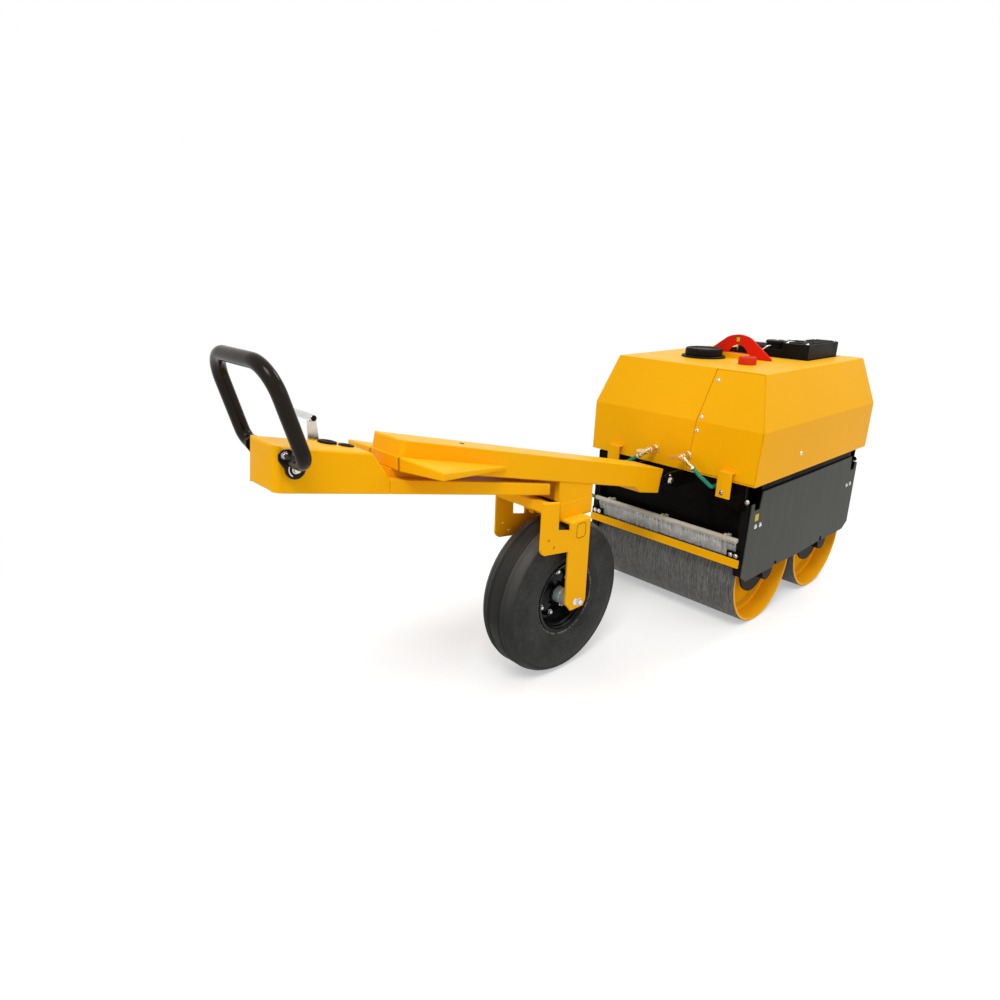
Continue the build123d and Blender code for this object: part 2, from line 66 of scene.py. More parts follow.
PINS = {joint["name"]: np.array(joint["pos_m"]) for joint in frame["joints"]}
REAR_AXLE = PINS["rear_drum_spin"]
FRONT_AXLE = PINS["front_drum_spin"]
WHEEL_AXLE = PINS["support_wheel_spin"]
HANDLE_PIN = PINS["handle_tilt"]
MIDDLE_X = (REAR_AXLE[0] + FRONT_AXLE[0]) / 2


def at(x, y, z):
    """Point x millimetres ahead of the rear drum's axle, y to the left and z above the ground."""
    return np.array((REAR_AXLE[0] + x * MM, y * MM, z * MM))


# ------------------------------------------------------------------ surfaces
def unit(vector):
    """Vector, or rows of vectors, divided by length."""
    vector = np.asarray(vector, float)
    return vector / np.linalg.norm(vector, axis=-1, keepdims=True)


def full_turn(steps):
    """Angles evenly spaced once round."""
    return np.arange(steps) / steps * TAU


def basis(axis):
    """Two unit vectors square to the axis and to each other, the second their cross product."""
    axis = unit(axis)
    helper = np.array((0.0, 0.0, 1.0)) if abs(axis[2]) < 0.9 else np.array((1.0, 0.0, 0.0))
    first = unit(np.cross(helper, axis))
    return first, np.cross(axis, first)


def rounded(corners, radius, steps=5, closed=False):
    """Line through the corners, each eased by an arc of the radius, written as the conic
    ((1-t)^2 a + 2 w t (1-t) corner + t^2 b) / ((1-t)^2 + 2 w t (1-t) + t^2): w is the sine of half the corner's
    angle, and a and b lie at the same reach, radius / tan(half the angle), along its two edges."""
    corners = np.asarray(corners, float)
    back = np.roll(corners, 1, 0) - corners
    ahead = np.roll(corners, -1, 0) - corners
    lengths = [np.maximum(np.linalg.norm(v, axis=1, keepdims=True), 1e-9) for v in (back, ahead)]
    back, ahead = back / lengths[0], ahead / lengths[1]
    w = np.sqrt(np.clip((1 - (back * ahead).sum(1, keepdims=True)) / 2, 1e-9, 1 - 1e-9))
    radius = np.broadcast_to(np.asarray(radius, float), len(corners))[:, None]
    reach = np.minimum(radius * np.sqrt(1 - w**2) / w, np.minimum(*lengths) * 0.49)
    a, b = corners + back * reach, corners + ahead * reach
    t = np.linspace(0, 1, steps)[None, :, None]
    early, middle, late = (1 - t) ** 2, 2 * w[:, None] * t * (1 - t), t**2
    eased = (early * a[:, None] + middle * corners[:, None] + late * b[:, None]) / (early + middle + late)
    if closed:
        return eased.reshape(-1, corners.shape[1])
    return np.concatenate([corners[:1], eased[1:-1].reshape(-1, corners.shape[1]), corners[-1:]])


def oblong(u0, u1, v0, v1, radius, steps=3):
    """Closed rectangle with eased corners."""
    return rounded([(u0, v0), (u1, v0), (u1, v1), (u0, v1)], radius, steps, True)


class Skin:
    """Points with the quads over them.  Adding two skins lays them side by side."""

    def __init__(self, points, quads):
        self.points = np.asarray(points, float).reshape(-1, 3)
        self.quads = np.asarray(quads, int).reshape(-1, 4)

    def __add__(self, other):
        quads = np.concatenate([self.quads, other.quads + len(self.points)])
        return Skin(np.concatenate([self.points, other.points]), quads)

    def flipped(self, middle, axis):
        """Mirror image across the plane through middle, square to the axis numbered 0, 1 or 2."""
        points = self.points.copy()
        points[:, axis] = 2 * middle - points[:, axis]
        return Skin(points, self.quads[:, ::-1])


def together(skins):
    """One skin of all that are given."""
    whole = skins[0]
    for skin in skins[1:]:
        whole = whole + skin
    return whole


def both_sides(skin):
    """The skin and its mirror image across the machine's middle plane."""
    return skin + skin.flipped(0.0, 1)


def both_ends(skin):
    """The skin and its mirror image across the line half way between the drums."""
    return skin + skin.flipped(MIDDLE_X, 0)


def weave(points, wrap_rows=False, wrap_columns=False):
    """Skin over a grid of points: the cell at row i, column j joins (i, j), (i, j+1), (i+1, j+1), (i+1, j)."""
    rows, columns = points.shape[:2]
    i = np.arange(rows if wrap_rows else rows - 1)[:, None]
    j = np.arange(columns if wrap_columns else columns - 1)[None]
    right = (j + 1) % columns
    below = (i + 1) % rows
    quads = np.stack(np.broadcast_arrays(i * columns + j, i * columns + right,
                                         below * columns + right, below * columns + j), -1)
    return Skin(points, quads)


def lathe(profile, middle, axis=LEFT, steps=64, ring=False, sides=0, shaped=None):
    """Turned form: middle + h axis + r (cos a e1 + sin a e2) for each (r, h) of the profile in millimetres.
    With sides, r is stretched to that regular polygon, r / cos(a folded into half a side); with shaped, by a
    factor of its own at each step."""
    profile = np.asarray(profile, float) * MM
    angle = full_turn(steps)
    e1, e2 = basis(axis)
    stretch = np.ones(steps) if shaped is None else shaped
    if sides:
        half = np.pi / sides
        stretch = 1 / np.cos((angle + half) % (2 * half) - half)
    around = (np.cos(angle)[:, None] * e1 + np.sin(angle)[:, None] * e2) * stretch[:, None]
    points = (np.asarray(middle) + profile[:, 1][:, None, None] * unit(axis)
              + profile[:, 0][:, None, None] * around[None])
    return weave(points, wrap_rows=ring, wrap_columns=True)


def turned(profile, ease, middle, axis=LEFT, steps=64, ring=False, arc=3, shaped=None):
    """Turned form of a profile with eased corners.  A ring's profile is closed."""
    return lathe(rounded(profile, ease, arc, ring), middle, axis, steps, ring, shaped=shaped)


def mirrored(half):
    """Profile of (r, h) carried on through its own mirror image at -h."""
    return half + [(r, -h) for r, h in half[::-1]]


def tube(path, radius, side=UP, steps=20):
    """Round bar along a path of points: path(s) + r(s) (cos a n + sin a b), n square to the path and to side."""
    path = np.asarray(path, float)
    run = unit(np.gradient(path, axis=0))
    n = unit(np.cross(run, np.asarray(side, float)))
    b = np.cross(run, n)
    angle = full_turn(steps)
    radius = np.broadcast_to(np.asarray(radius, float), len(path))
    path, n, b = (np.concatenate([rows[:1], rows, rows[-1:]]) for rows in (path, n, b))
    radius = np.concatenate([[1e-7], radius, [1e-7]])
    offset = np.cos(angle)[None, :, None] * n[:, None] + np.sin(angle)[None, :, None] * b[:, None]
    return weave(path[:, None] + radius[:, None, None] * offset, wrap_columns=True)


def inward(outline):
    """Unit normals, pointing inside, at the points of a closed flat outline."""
    ahead, behind = np.roll(outline, -1, 0), np.roll(outline, 1, 0)
    turn = np.sign(np.sum(outline[:, 0] * ahead[:, 1] - ahead[:, 0] * outline[:, 1]))
    run = ahead - behind
    return unit(np.stack([-run[:, 1], run[:, 0]], -1)) * turn


def raised(rows, origin, across, up):
    """Points origin + u across + v up + h (across x up) for rows of (outline of (u, v), h), in millimetres."""
    across, up = unit(across), unit(up)
    return np.array([np.asarray(origin) + (p[:, :1] * across + p[:, 1:] * up + h * np.cross(across, up)) * MM
                     for p, h in rows])


def slab(outline, thickness, origin, across, up, ease=0.4):
    """Flat plate: the closed outline pushed through its thickness, its two rims drawn in by ease."""
    outline = np.asarray(outline, float)
    drawn_in = outline + inward(outline) * ease
    middle = np.repeat(outline.mean(0)[None], len(outline), 0)
    rows = [(middle, 0.0), (drawn_in, 0.0), (outline, ease), (outline, thickness - ease), (drawn_in, thickness),
            (middle, thickness)]
    return weave(raised(rows, origin, across, up), wrap_columns=True)


def frame_line(outline, width, height, origin, across, up):
    """Raised strip that follows a closed outline on its inner side."""
    outline = np.asarray(outline, float)
    inner = outline + inward(outline) * width
    rows = [(outline, 0.0), (outline, height), (inner, height), (inner, 0.0)]
    return weave(raised(rows, origin, across, up), wrap_rows=True, wrap_columns=True)


def folded_plate(corners, thickness, fold, corner=6.0):
    """Flat plate with its rim folded down.  Each corner gives x, y, top and lower edge, as for at; the fold is a
    quarter circle: inset fold (1 - sin a), lowered fold (1 - cos a)."""
    rim = rounded(corners, corner, 5, True)
    flat, top, low = rim[:, :2], rim[:, 2], rim[:, 3]
    inside, middle = inward(flat), np.repeat(rim.mean(0)[None], len(rim), 0)
    rows = [(fold * (1 - np.sin(a)), top - fold * (1 - np.cos(a))) for a in np.linspace(0, np.pi / 2, 6)]
    rows += [(0.0, low), (thickness, low), (thickness, top - thickness)]
    rings = [np.column_stack([flat + inside * inset, z]) for inset, z in rows]
    rings = [middle[:, :3], *rings, middle[:, :3] - (0, 0, thickness)]
    return weave(at(0, 0, 0) + np.array(rings) * MM, wrap_columns=True)


def block(low, high, ease=1.2):
    """Box between two corners, given as for at, its upright edges and its rims eased."""
    (x0, y0, z0), (x1, y1, z1) = low, high
    return slab(oblong(x0, x1, y0, y1, ease), z1 - z0, at(0, 0, z0), AHEAD, LEFT, ease)


def ring_of(make, middle, axis, radius, count, start=0.0):
    """Skins make(spot) at spots middle + radius (cos a e1 + sin a e2), a evenly spaced from start."""
    e1, e2 = basis(axis)
    turns = start + full_turn(count)
    return together([make(np.asarray(middle) + (np.cos(a) * e1 + np.sin(a) * e2) * radius * MM) for a in turns])


def bolt(spot, axis, size=13.0, height=7.0, washer=10.0):
    """Six-sided bolt head with a chamfered crown on a round washer.  Size is across its flats."""
    plate = lathe([(0, 0), (washer, 0), (washer, 1.6), (0, 1.6)], spot, axis, 28)
    low = lathe([(0, 1.2), (size / 2, 1.2), (size / 2, height - 1)], spot, axis, 36, sides=6)
    crown = lathe([(size / 2, height - 1.2), (size / 2 - 0.9, height), (0, height)], spot, axis, 36)
    stem = lathe([(0, height - 3), (size / 2 - 0.2, height - 3), (size / 2 - 0.2, height - 1), (0, height - 0.8)],
                 spot, axis, 36)
    return plate + low + crown + stem


def button(spot, axis, radius=8.0, height=5.0, socket=3.0):
    """Domed screw head: a quarter ellipse turned about the axis, with a six-sided socket sunk in its crown."""
    a = np.linspace(0, np.pi / 2, 9)[:-1]
    dome = np.stack([radius * np.cos(a), height * np.sin(a)], -1)
    top = height * 0.98
    profile = [(0, 0), (radius, 0), *dome[1:], (socket * 1.15, top), (socket, top - 0.3), (socket, top - 2.5),
               (0, top - 2.8)]
    return lathe(profile, spot, axis, 30)


def piece(name, skin, body, slot, replaces=(), finish=None, smooth=34):
    """Mesh object of a skin, closed at its poles, faces outward, riding on a body of the frame."""
    mesh = bpy.data.meshes.new(name)
    mesh.vertices.add(len(skin.points))
    mesh.vertices.foreach_set("co", skin.points.astype(np.float32).ravel())
    mesh.loops.add(skin.quads.size)
    mesh.loops.foreach_set("vertex_index", skin.quads.ravel().astype(np.int32))
    mesh.polygons.add(len(skin.quads))
    mesh.polygons.foreach_set("loop_start", (np.arange(len(skin.quads)) * 4).astype(np.int32))
    mesh.update(calc_edges=True)
    work = bmesh.new()
    work.from_mesh(mesh)
    bmesh.ops.remove_doubles(work, verts=work.verts, dist=2e-6)
    bmesh.ops.dissolve_degenerate(work, edges=work.edges, dist=1e-7)
    bmesh.ops.recalc_face_normals(work, faces=work.faces)
    work.to_mesh(mesh)
    work.free()
    mesh.shade_smooth()
    mesh.set_sharp_from_angle(angle=np.radians(smooth))
    return hang(mesh, body, slot, replaces, finish)


def placed(name, data):
    """Object of its data, linked to the scene."""
    made = bpy.data.objects.new(name, data)
    bpy.context.scene.collection.objects.link(made)
    return made


def hang(mesh, body, slot, replaces=(), finish=None):
    """Object of a mesh, with its finish (the slot's unless one is given), hung on its body, hiding the frame nodes that
    it replaces.
    """
    mesh.materials.clear()
    mesh.materials.append(finish or FINISHES[slot])
    made = placed(mesh.name, mesh)
    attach(made, body)
    if replaces:
        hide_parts(*replaces)
    return made


def eased_copy(node, body, width):
    """Copy of a frame node with its outer edges rolled over: a bevel as wide as given on each sharp edge, and
    narrower beside a narrow face."""
    mesh = frame["nodes"][node].data.copy()
    mesh.name = "eased_" + node
    work = bmesh.new()
    work.from_mesh(mesh)
    bmesh.ops.remove_doubles(work, verts=work.verts, dist=2e-6)
    weight = work.edges.layers.float.new("bevel_weight_edge")
    for edge in work.edges:
        length = edge.calc_length()
        if len(edge.link_faces) == 2 and edge.calc_face_angle_signed(0.0) > FOLD and length > 0.012:
            room = min(2 * face.calc_area() / length for face in edge.link_faces)
            edge[weight] = min(1.0, room / (2.6 * width))
    work.to_mesh(mesh)
    work.free()
    for stale in [a for a in mesh.attributes if a.name in ("custom_normal", "sharp_edge", "sharp_face")]:
        mesh.attributes.remove(stale)
    mesh.shade_smooth()
    mesh.set_sharp_from_angle(angle=FOLD)
    made = hang(mesh, body, SLOT_OF.get(node, "yellow_paint"), (node,))
    fold = made.modifiers.new("fold", "BEVEL")
    fold.width = width
    fold.segments = 3
    fold.limit_method = "WEIGHT"
    fold.use_clamp_overlap = False
    fold.harden_normals = True
    return made


# ------------------------------------------------------------------ finishes
class Value:
    """One output of a node, on which + - * and abs build Math nodes."""

    def __init__(self, finish, socket):
        self.finish = finish
        self.socket = socket

    def math(self, operation, first, second=None):
        inputs = {0: first} if second is None else {0: first, 1: second}
        return self.finish.node("ShaderNodeMath", {"operation": operation}, inputs)

    def __add__(self, other):
        return self.math("ADD", self, other)

    __radd__ = __add__

    def __sub__(self, other):
        return self.math("SUBTRACT", self, other)

    def __rsub__(self, other):
        return self.math("SUBTRACT", other, self)

    def __mul__(self, other):
        return self.math("MULTIPLY", self, other)

    __rmul__ = __mul__

    def __abs__(self):
        return self.math("ABSOLUTE", self)

    def sine(self):
        return self.math("SINE", self)

    def at_least(self, other):
        return self.math("MAXIMUM", self, other)


class Wiring:
    """The nodes of a material or of the sky."""

    def __init__(self, owner):
        owner.use_nodes = True
        self.tree = owner.node_tree
        self.tree.nodes.clear()

    def put(self, socket, value):
        if isinstance(value, Value):
            self.tree.links.new(value.socket, socket)
        elif isinstance(value, (tuple, list)) and len(value) == 3 and socket.type == "RGBA":
            socket.default_value = (*value, 1.0)
        else:
            socket.default_value = value

    def node(self, kind, settings, inputs, output=0):
        """Node of a kind: its settings first, then the values or links of its sockets."""
        made = self.tree.nodes.new(kind)
        for key, value in settings.items():
            setattr(made, key, value)
        for key, value in inputs.items():
            self.put(made.inputs[key], value)
        return Value(self, made.outputs[output])

    def vector(self, operation, *inputs, output=0):
        return self.node("ShaderNodeVectorMath", {"operation": operation}, dict(enumerate(inputs)), output)

    def ease(self, value, low, high, to_low=0.0, to_high=1.0, kind="SMOOTHSTEP"):
        """Smooth step of a value from one range to another."""
        return self.node("ShaderNodeMapRange", {"interpolation_type": kind},
                         {0: value, 1: low, 2: high, 3: to_low, 4: to_high})

    def seen(self):
        """1 for what the camera, a mirror or glass sees, 0 for light that falls on the machine."""
        rays = self.tree.nodes.new("ShaderNodeLightPath")
        kinds = [Value(self, rays.outputs[k]) for k in ("Is Camera Ray", "Is Glossy Ray", "Is Transmission Ray")]
        return kinds[0].at_least(kinds[1]).at_least(kinds[2])


class Finish(Wiring):
    """A material whose surface is one Principled shader."""

    def __init__(self, name, **constants):
        self.material = bpy.data.materials.new(name)
        super().__init__(self.material)
        self.shader = self.tree.nodes.new("ShaderNodeBsdfPrincipled")
        self.end = self.tree.nodes.new("ShaderNodeOutputMaterial").inputs["Surface"]
        self.tree.links.new(self.shader.outputs[0], self.end)
        self.place = self.node("ShaderNodeTexCoord", {}, {}, "Object")
        self.shape(**constants)

    def shape(self, **inputs):
        """Feed sockets of the shader."""
        for socket, value in inputs.items():
            self.put(self.shader.inputs[socket.replace("_", " ")], value)

    def scaled(self, factors):
        """Object coordinates, each axis multiplied by its factor."""
        return self.vector("MULTIPLY", self.place, factors)

    def from_axle(self, axle):
        """Distance from a pin that lies across the machine."""
        out = self.vector("SUBTRACT", self.place, tuple(axle))
        return self.vector("LENGTH", self.vector("MULTIPLY", out, (1.0, 0.0, 1.0)), output="Value")

    def noise(self, scale, detail=2.0, rough=0.5, vector=None, warp=0.0):
        return self.node("ShaderNodeTexNoise", {},
                         {"Vector": vector or self.place, "Scale": scale, "Detail": detail,
                          "Roughness": rough, "Distortion": warp})

    def cells(self, scale):
        return self.node("ShaderNodeTexVoronoi", {}, {"Vector": self.place, "Scale": scale}, "Distance")

    def blend(self, factor, first, second):
        """Colour between the first and the second."""
        return self.node("ShaderNodeMix", {"data_type": "RGBA"},
                         {0: factor, 6: first, 7: second}, 2)

    def part(self, axis):
        """X, Y or Z of the object coordinates."""
        return self.node("ShaderNodeSeparateXYZ", {}, {0: self.place}, axis)

    def facing_up(self):
        """0 on walls, 1 on level tops."""
        normal = self.node("ShaderNodeNewGeometry", {}, {}, "Normal")
        return self.node("ShaderNodeSeparateXYZ", {}, {0: normal}, "Z")

    def eased_edges(self, radius):
        """Normals bent over the corners of sheet metal."""
        return self.node("ShaderNodeBevel", {"samples": 4}, {"Radius": radius})

    def bump(self, height, strength, distance, normal=None):
        inputs = {"Height": height, "Strength": strength, "Distance": distance}
        if normal is not None:
            inputs["Normal"] = normal
        return self.node("ShaderNodeBump", {}, inputs)


def times(colour, factor, lift=0.0):
    """Colour made darker or paler, within white."""
    return tuple(min(1.0, c * factor + lift) for c in colour)


def enamel(name, colour, roughness=0.34, peel=0.05, edge=0.003, dusty=0.3, gloss=0.045, top_light_and_dust_colour=None):
    """Sprayed enamel on sheet steel: slow drift of tone, paler where it faces up as painted top light with a little
    dust, orange peel, soft folds.
    """
    f = Finish(name, Specular_IOR_Level=gloss)
    drift = f.ease(f.noise(1.7, 3), 0.3, 0.7)
    # painted light: what faces up is blended to a paler colour, as if lit from above, mottled a little like dust; dusty
    # sets how much
    film = f.facing_up().at_least(0.0) * f.ease(f.noise(9, 5, 0.6), 0.3, 0.75, dusty * 0.8, dusty)
    tone = f.blend(drift, times(colour, 0.96), colour)
    tone = f.blend(film, tone, top_light_and_dust_colour or times(colour, 1.5))
    wear = f.noise(24, 5, 0.65)
    normal = f.bump(f.noise(620, 2), peel, 0.0004, f.eased_edges(edge))
    f.shape(Base_Color=tone, Roughness=f.ease(wear, 0.2, 0.8, roughness - 0.05, roughness + 0.1), Normal=normal)
    return f.material


def powder(name, colour, roughness=0.45, metallic=0.0, grain=0.25, scale=420.0, edge=0.0015, gloss=0.06,
           dusty=0.04):
    """Cast, moulded or powder-coated surface: fine grain, worn a little paler in patches."""
    f = Finish(name, Metallic=metallic, Specular_IOR_Level=gloss)
    patch = f.ease(f.noise(14, 4, 0.6), 0.35, 0.75)
    dust = f.facing_up().at_least(0.0) * f.ease(f.noise(30, 4), 0.4, 0.7, 0.0, dusty)
    tone = f.blend(dust, f.blend(patch * 0.5, colour, times(colour, 1.5, 0.003)), (0.35, 0.3, 0.24))
    normal = f.bump(f.noise(scale, 3), grain, 0.0005, f.eased_edges(edge))
    f.shape(Base_Color=tone, Roughness=f.ease(patch, 0, 1, roughness - 0.06, roughness + 0.08), Normal=normal)
    return f.material


def plated(name, colour, roughness=0.22, streak=0.06, dull=0.9):
    """Plated or polished metal: faintly clouded bright, with fine turned lines."""
    f = Finish(name, Metallic=1.0)
    cloud = f.ease(f.noise(35, 3, 0.5), 0.25, 0.75)
    grain = f.noise(900, 2, vector=f.scaled((1.0, 0.15, 1.0)))
    f.shape(Base_Color=f.blend(cloud, times(colour, dull), colour),
            Roughness=f.ease(cloud, 0, 1, roughness + 0.06, roughness),
            Normal=f.bump(grain, streak, 0.0002, f.eased_edges(0.0006)))
    return f.material


def side_plate_coat(name, colour, black):
    """Chassis side plate: grey enamel on its outer face, and the black of the frame painted on its folded ends and
    inner face as painted shade.
    """
    f = Finish(name, Specular_IOR_Level=0.1, Roughness=0.5)
    ahead = abs(f.part("X") - MIDDLE_X)
    # painted shade: off the outer face the plate takes the frame's black, standing in for the shadow on its folded ends
    # and inner face
    outer_face_else_painted_shade = f.ease(abs(f.part("Y")), 0.3480, 0.3495) * f.ease(ahead, 0.4875, 0.4845)
    scuff = f.ease(f.noise(1.0, 5, 0.7, f.scaled((26.0, 26.0, 5.0)), 0.6), 0.45, 0.7)
    tone = f.blend(scuff * 0.35, colour, times(colour, 1.45))
    f.shape(Base_Color=f.blend(outer_face_else_painted_shade, black, tone),
            Normal=f.bump(f.noise(420, 3), 0.12, 0.0004, f.eased_edges(0.003)))
    return f.material


def rolled_steel(name, axle):
    """Drum: bare worn steel on the rolling face, streaked round and round, enamel inside."""
    f = Finish(name, Specular_IOR_Level=0.15)
    face = f.ease(f.from_axle(axle), 0.2145, 0.2165)
    wisp = f.noise(1.0, 6, 0.72, f.scaled((16.0, 330.0, 16.0)), 1.6)
    fine = f.noise(1.0, 4, 0.7, f.scaled((34.0, 900.0, 34.0)), 0.6)
    cloud = f.noise(6.0, 4, 0.6)
    marks = f.ease(wisp * 0.6 + fine * 0.4, 0.4, 0.62)
    steel = f.blend(marks, (0.038, 0.038, 0.036), (0.235, 0.235, 0.222))
    steel = f.blend(f.ease(cloud, 0.4, 0.7) * 0.3, steel, (0.12, 0.118, 0.11))
    tone = f.blend(face, (0.95, 0.44, 0.002), steel)
    f.shape(Base_Color=tone, Metallic=face * 0.3, Roughness=f.ease(marks, 0, 1, 0.62, 0.5),
            Normal=f.bump(marks * face, 0.5, 0.0006))
    return f.material


def rubber(name):
    """Tyre: dull black with paler shoulder bands and patches of dust, paler on what faces up and darker below as
    painted light from above, with faint moulding rings.
    """
    f = Finish(name, Specular_IOR_Level=0.14)
    radius = f.from_axle(WHEEL_AXLE)
    cloud = f.noise(11, 5, 0.62)
    scuff = f.noise(1.0, 6, 0.7, f.scaled((55.0, 420.0, 55.0)), 0.8)
    dust = f.ease(cloud * 0.55 + scuff * 0.45, 0.38, 0.68)
    # painted light: upward faces of the crown and shoulders paler, downward faces darker, as if lit from above
    painted_top_light = f.ease(f.facing_up(), -0.1, 0.85)
    tread = f.ease(radius, 0.243, 0.250)
    shoulder = tread * f.ease(abs(f.part("Y")), 0.026, 0.034)
    wall = f.blend(dust * 0.7, (0.016, 0.016, 0.0145), (0.062, 0.062, 0.057))
    crown = f.blend(painted_top_light * (dust * 0.5 + 0.5), (0.012, 0.012, 0.011), (0.050, 0.050, 0.047))
    band = f.blend(painted_top_light * (dust * 0.4 + 0.6), (0.022, 0.022, 0.020), (0.115, 0.115, 0.108))
    tone = f.blend(shoulder, f.blend(tread, wall, crown), band)
    bead = f.ease(radius, 0.1335, 0.1285) * f.ease(f.noise(70, 4, 0.7), 0.42, 0.6)
    tone = f.blend(bead * 0.6, tone, (0.3, 0.29, 0.26))
    ring = (radius * 2600.0).sine() * f.ease(radius, 0.252, 0.24)
    grain = f.noise(480, 3, 0.6) + ring * 0.12
    f.shape(Base_Color=tone, Roughness=f.ease(dust, 0, 1, 0.5, 0.68), Normal=f.bump(grain, 0.22, 0.0006))
    return f.material


def bristle_hair(name):
    """Brush fibre: grey nylon, each strand a little lighter or darker."""
    f = Finish(name)
    strand = f.noise(1.0, 3, 0.8, f.scaled((25.0, 900.0, 18.0)))
    clump = f.noise(38, 3)
    tone = f.blend(f.ease(strand * 0.7 + clump * 0.3, 0.35, 0.65), (0.5, 0.52, 0.51), (1.0, 1.0, 0.99))
    f.shape(Base_Color=tone, Roughness=f.ease(strand, 0.3, 0.7, 0.45, 0.7))
    return f.material


def water_hose(name, colour):
    """Soft green hose with a reinforcing braid under a glossy skin."""
    f = Finish(name, Coat_Weight=0.25, Coat_Roughness=0.12, Roughness=0.4, Specular_IOR_Level=0.15)
    braid = f.cells(520)
    tone = f.blend(f.ease(braid, 0.1, 0.6), times(colour, 1.3), times(colour, 0.7))
    f.shape(Base_Color=f.blend(f.ease(f.noise(60, 2), 0.4, 0.7) * 0.3, tone, colour),
            Normal=f.bump(braid, 0.2, 0.0004))
    return f.material


# ------------------------------------------------------------------ settings
class RollerColours(bpy.types.PropertyGroup):
    """Colours that an owner might order otherwise"""

    def colour(name, default, what):
        return bpy.props.FloatVectorProperty(name=name, default=default, size=3, subtype="COLOR",
                                             min=0.0, max=1.0, description=what)

    body: colour("Body enamel", (0.985, 0.455, 0.0012), "Hood, tiller, fork and drum ends")
    plate: colour("Side plates", (0.060, 0.061, 0.053), "Chassis side plates")
    # also painted as shade on the side plates' folded ends and inner faces
    frame_black: colour("Frame", (0.0026, 0.0018, 0.0012), "Deck frame, guards and brackets")
    lift: colour("Lifting plate", (0.78, 0.018, 0.006), "Lifting frame above the hood")
    cap: colour("Fuel cap", (0.62, 0.035, 0.012), "Fuel cap")
    plastic: colour("Black plastic", (0.008, 0.0075, 0.007), "Water cap, cowl and dials")
    # near-black coat; its brown tint is a painted reflection of warm surroundings
    handle: colour("Travel handle", (0.010, 0.006, 0.003), "Coating of the travel handle")
    hose: colour("Water hoses", (0.006, 0.27, 0.185), "Water hoses")
    pipe: colour("Spray pipes", (0.50, 0.46, 0.37), "Spray pipes")
    zinc: colour("Bolts", (0.72, 0.72, 0.70), "Zinc-plated bolts and pins")
    brass: colour("Brass", (0.82, 0.60, 0.30), "Water valves")


class RollerSizes(bpy.types.PropertyGroup):
    """Sizes of the dressing pieces"""

    groove: bpy.props.FloatProperty(name="Tyre groove", default=4.0, min=0.0, max=10.0,
                                    description="Depth of the tyre's grooves, in millimetres")
    strands: bpy.props.IntProperty(name="Brush strands", default=3200, min=100, max=6000,
                                   description="Strands of each brush strip")
    lens: bpy.props.FloatProperty(name="Lens", default=25.13, min=10.0, description="Camera lens, in millimetres")
    sky: bpy.props.FloatProperty(name="Sky light", default=0.62, min=0.0, description="Strength of the white sky")
    key: bpy.props.FloatProperty(name="Main lamp", default=195.0, min=0.0, subtype="POWER", unit="POWER",
                                 description="Power of the large soft lamp")


FINISHES = {}


def mix_finishes(colours):
    """Every finish of the machine, by the slot name of the frame's record."""
    def rgb(key):
        return tuple(getattr(colours, key))

    FINISHES.update({
        # its pale yellow tops are painted top light
        "yellow_paint": enamel("body enamel", rgb("body"), top_light_and_dust_colour=(1.0, 0.68, 0.05)),
        # the frame black given here is painted shade on the plates' folded ends and inner faces
        "plate_grey": side_plate_coat("side plate enamel", rgb("plate"), rgb("frame_black")),
        "frame_black": powder("frame coat", rgb("frame_black"), 0.42, gloss=0.035, dusty=0.02),
        "red_paint": enamel("lifting plate enamel", rgb("lift"), 0.36, dusty=0.03),
        "red_plastic": powder("fuel cap plastic", rgb("cap"), 0.38, grain=0.1),
        "black_plastic": powder("black plastic", rgb("plastic"), 0.42, grain=0.18),
        "engine_metal": powder("engine casting", (0.08, 0.08, 0.08), 0.5, 0.5, 0.4, 260),
        "exhaust_steel": plated("exhaust steel", (0.34, 0.31, 0.28), 0.42, dull=0.75),
        "brass": plated("brass", rgb("brass"), 0.24),
        "pipe_plastic": powder("spray pipe plastic", rgb("pipe"), 0.45, grain=0.05),
        "green_hose": water_hose("water hose", rgb("hose")),
        "brush_fibre": bristle_hair("brush fibre"),
        "zinc_steel": plated("bright zinc", rgb("zinc")),
        # the handle coat's brown tint is a painted reflection
        "handle_black": powder("handle coat", rgb("handle"), 0.15, grain=0.02, gloss=0.14, dusty=0.0),
        "hub steel": powder("hub plating", (0.42, 0.46, 0.43), 0.3, metallic=0.35, grain=0.04, gloss=0.6, dusty=0.0),
        "rim_black": powder("rim lacquer", (0.003, 0.003, 0.003), 0.16, grain=0.03, gloss=0.12),
        "tyre": rubber("tyre rubber"),
        "drum_steel": rolled_steel("rear drum steel", REAR_AXLE),
        "front drum": rolled_steel("front drum steel", FRONT_AXLE),
    })


# ------------------------------------------------------------------ the makers
class ROLLER_OT_finishes(bpy.types.Operator):
    """Mix the finishes and lay them on the frame's own pieces"""

    bl_idname = "road_roller.finishes"
    bl_label = "Finishes"

    def execute(self, context):
        mix_finishes(context.scene.roller_colours)
        for name, node in frame["nodes"].items():
            slot = SLOT_OF.get(name, "yellow_paint")
            node.data.materials.clear()
            node.data.materials.append(FINISHES[slot])
        return {"FINISHED"}


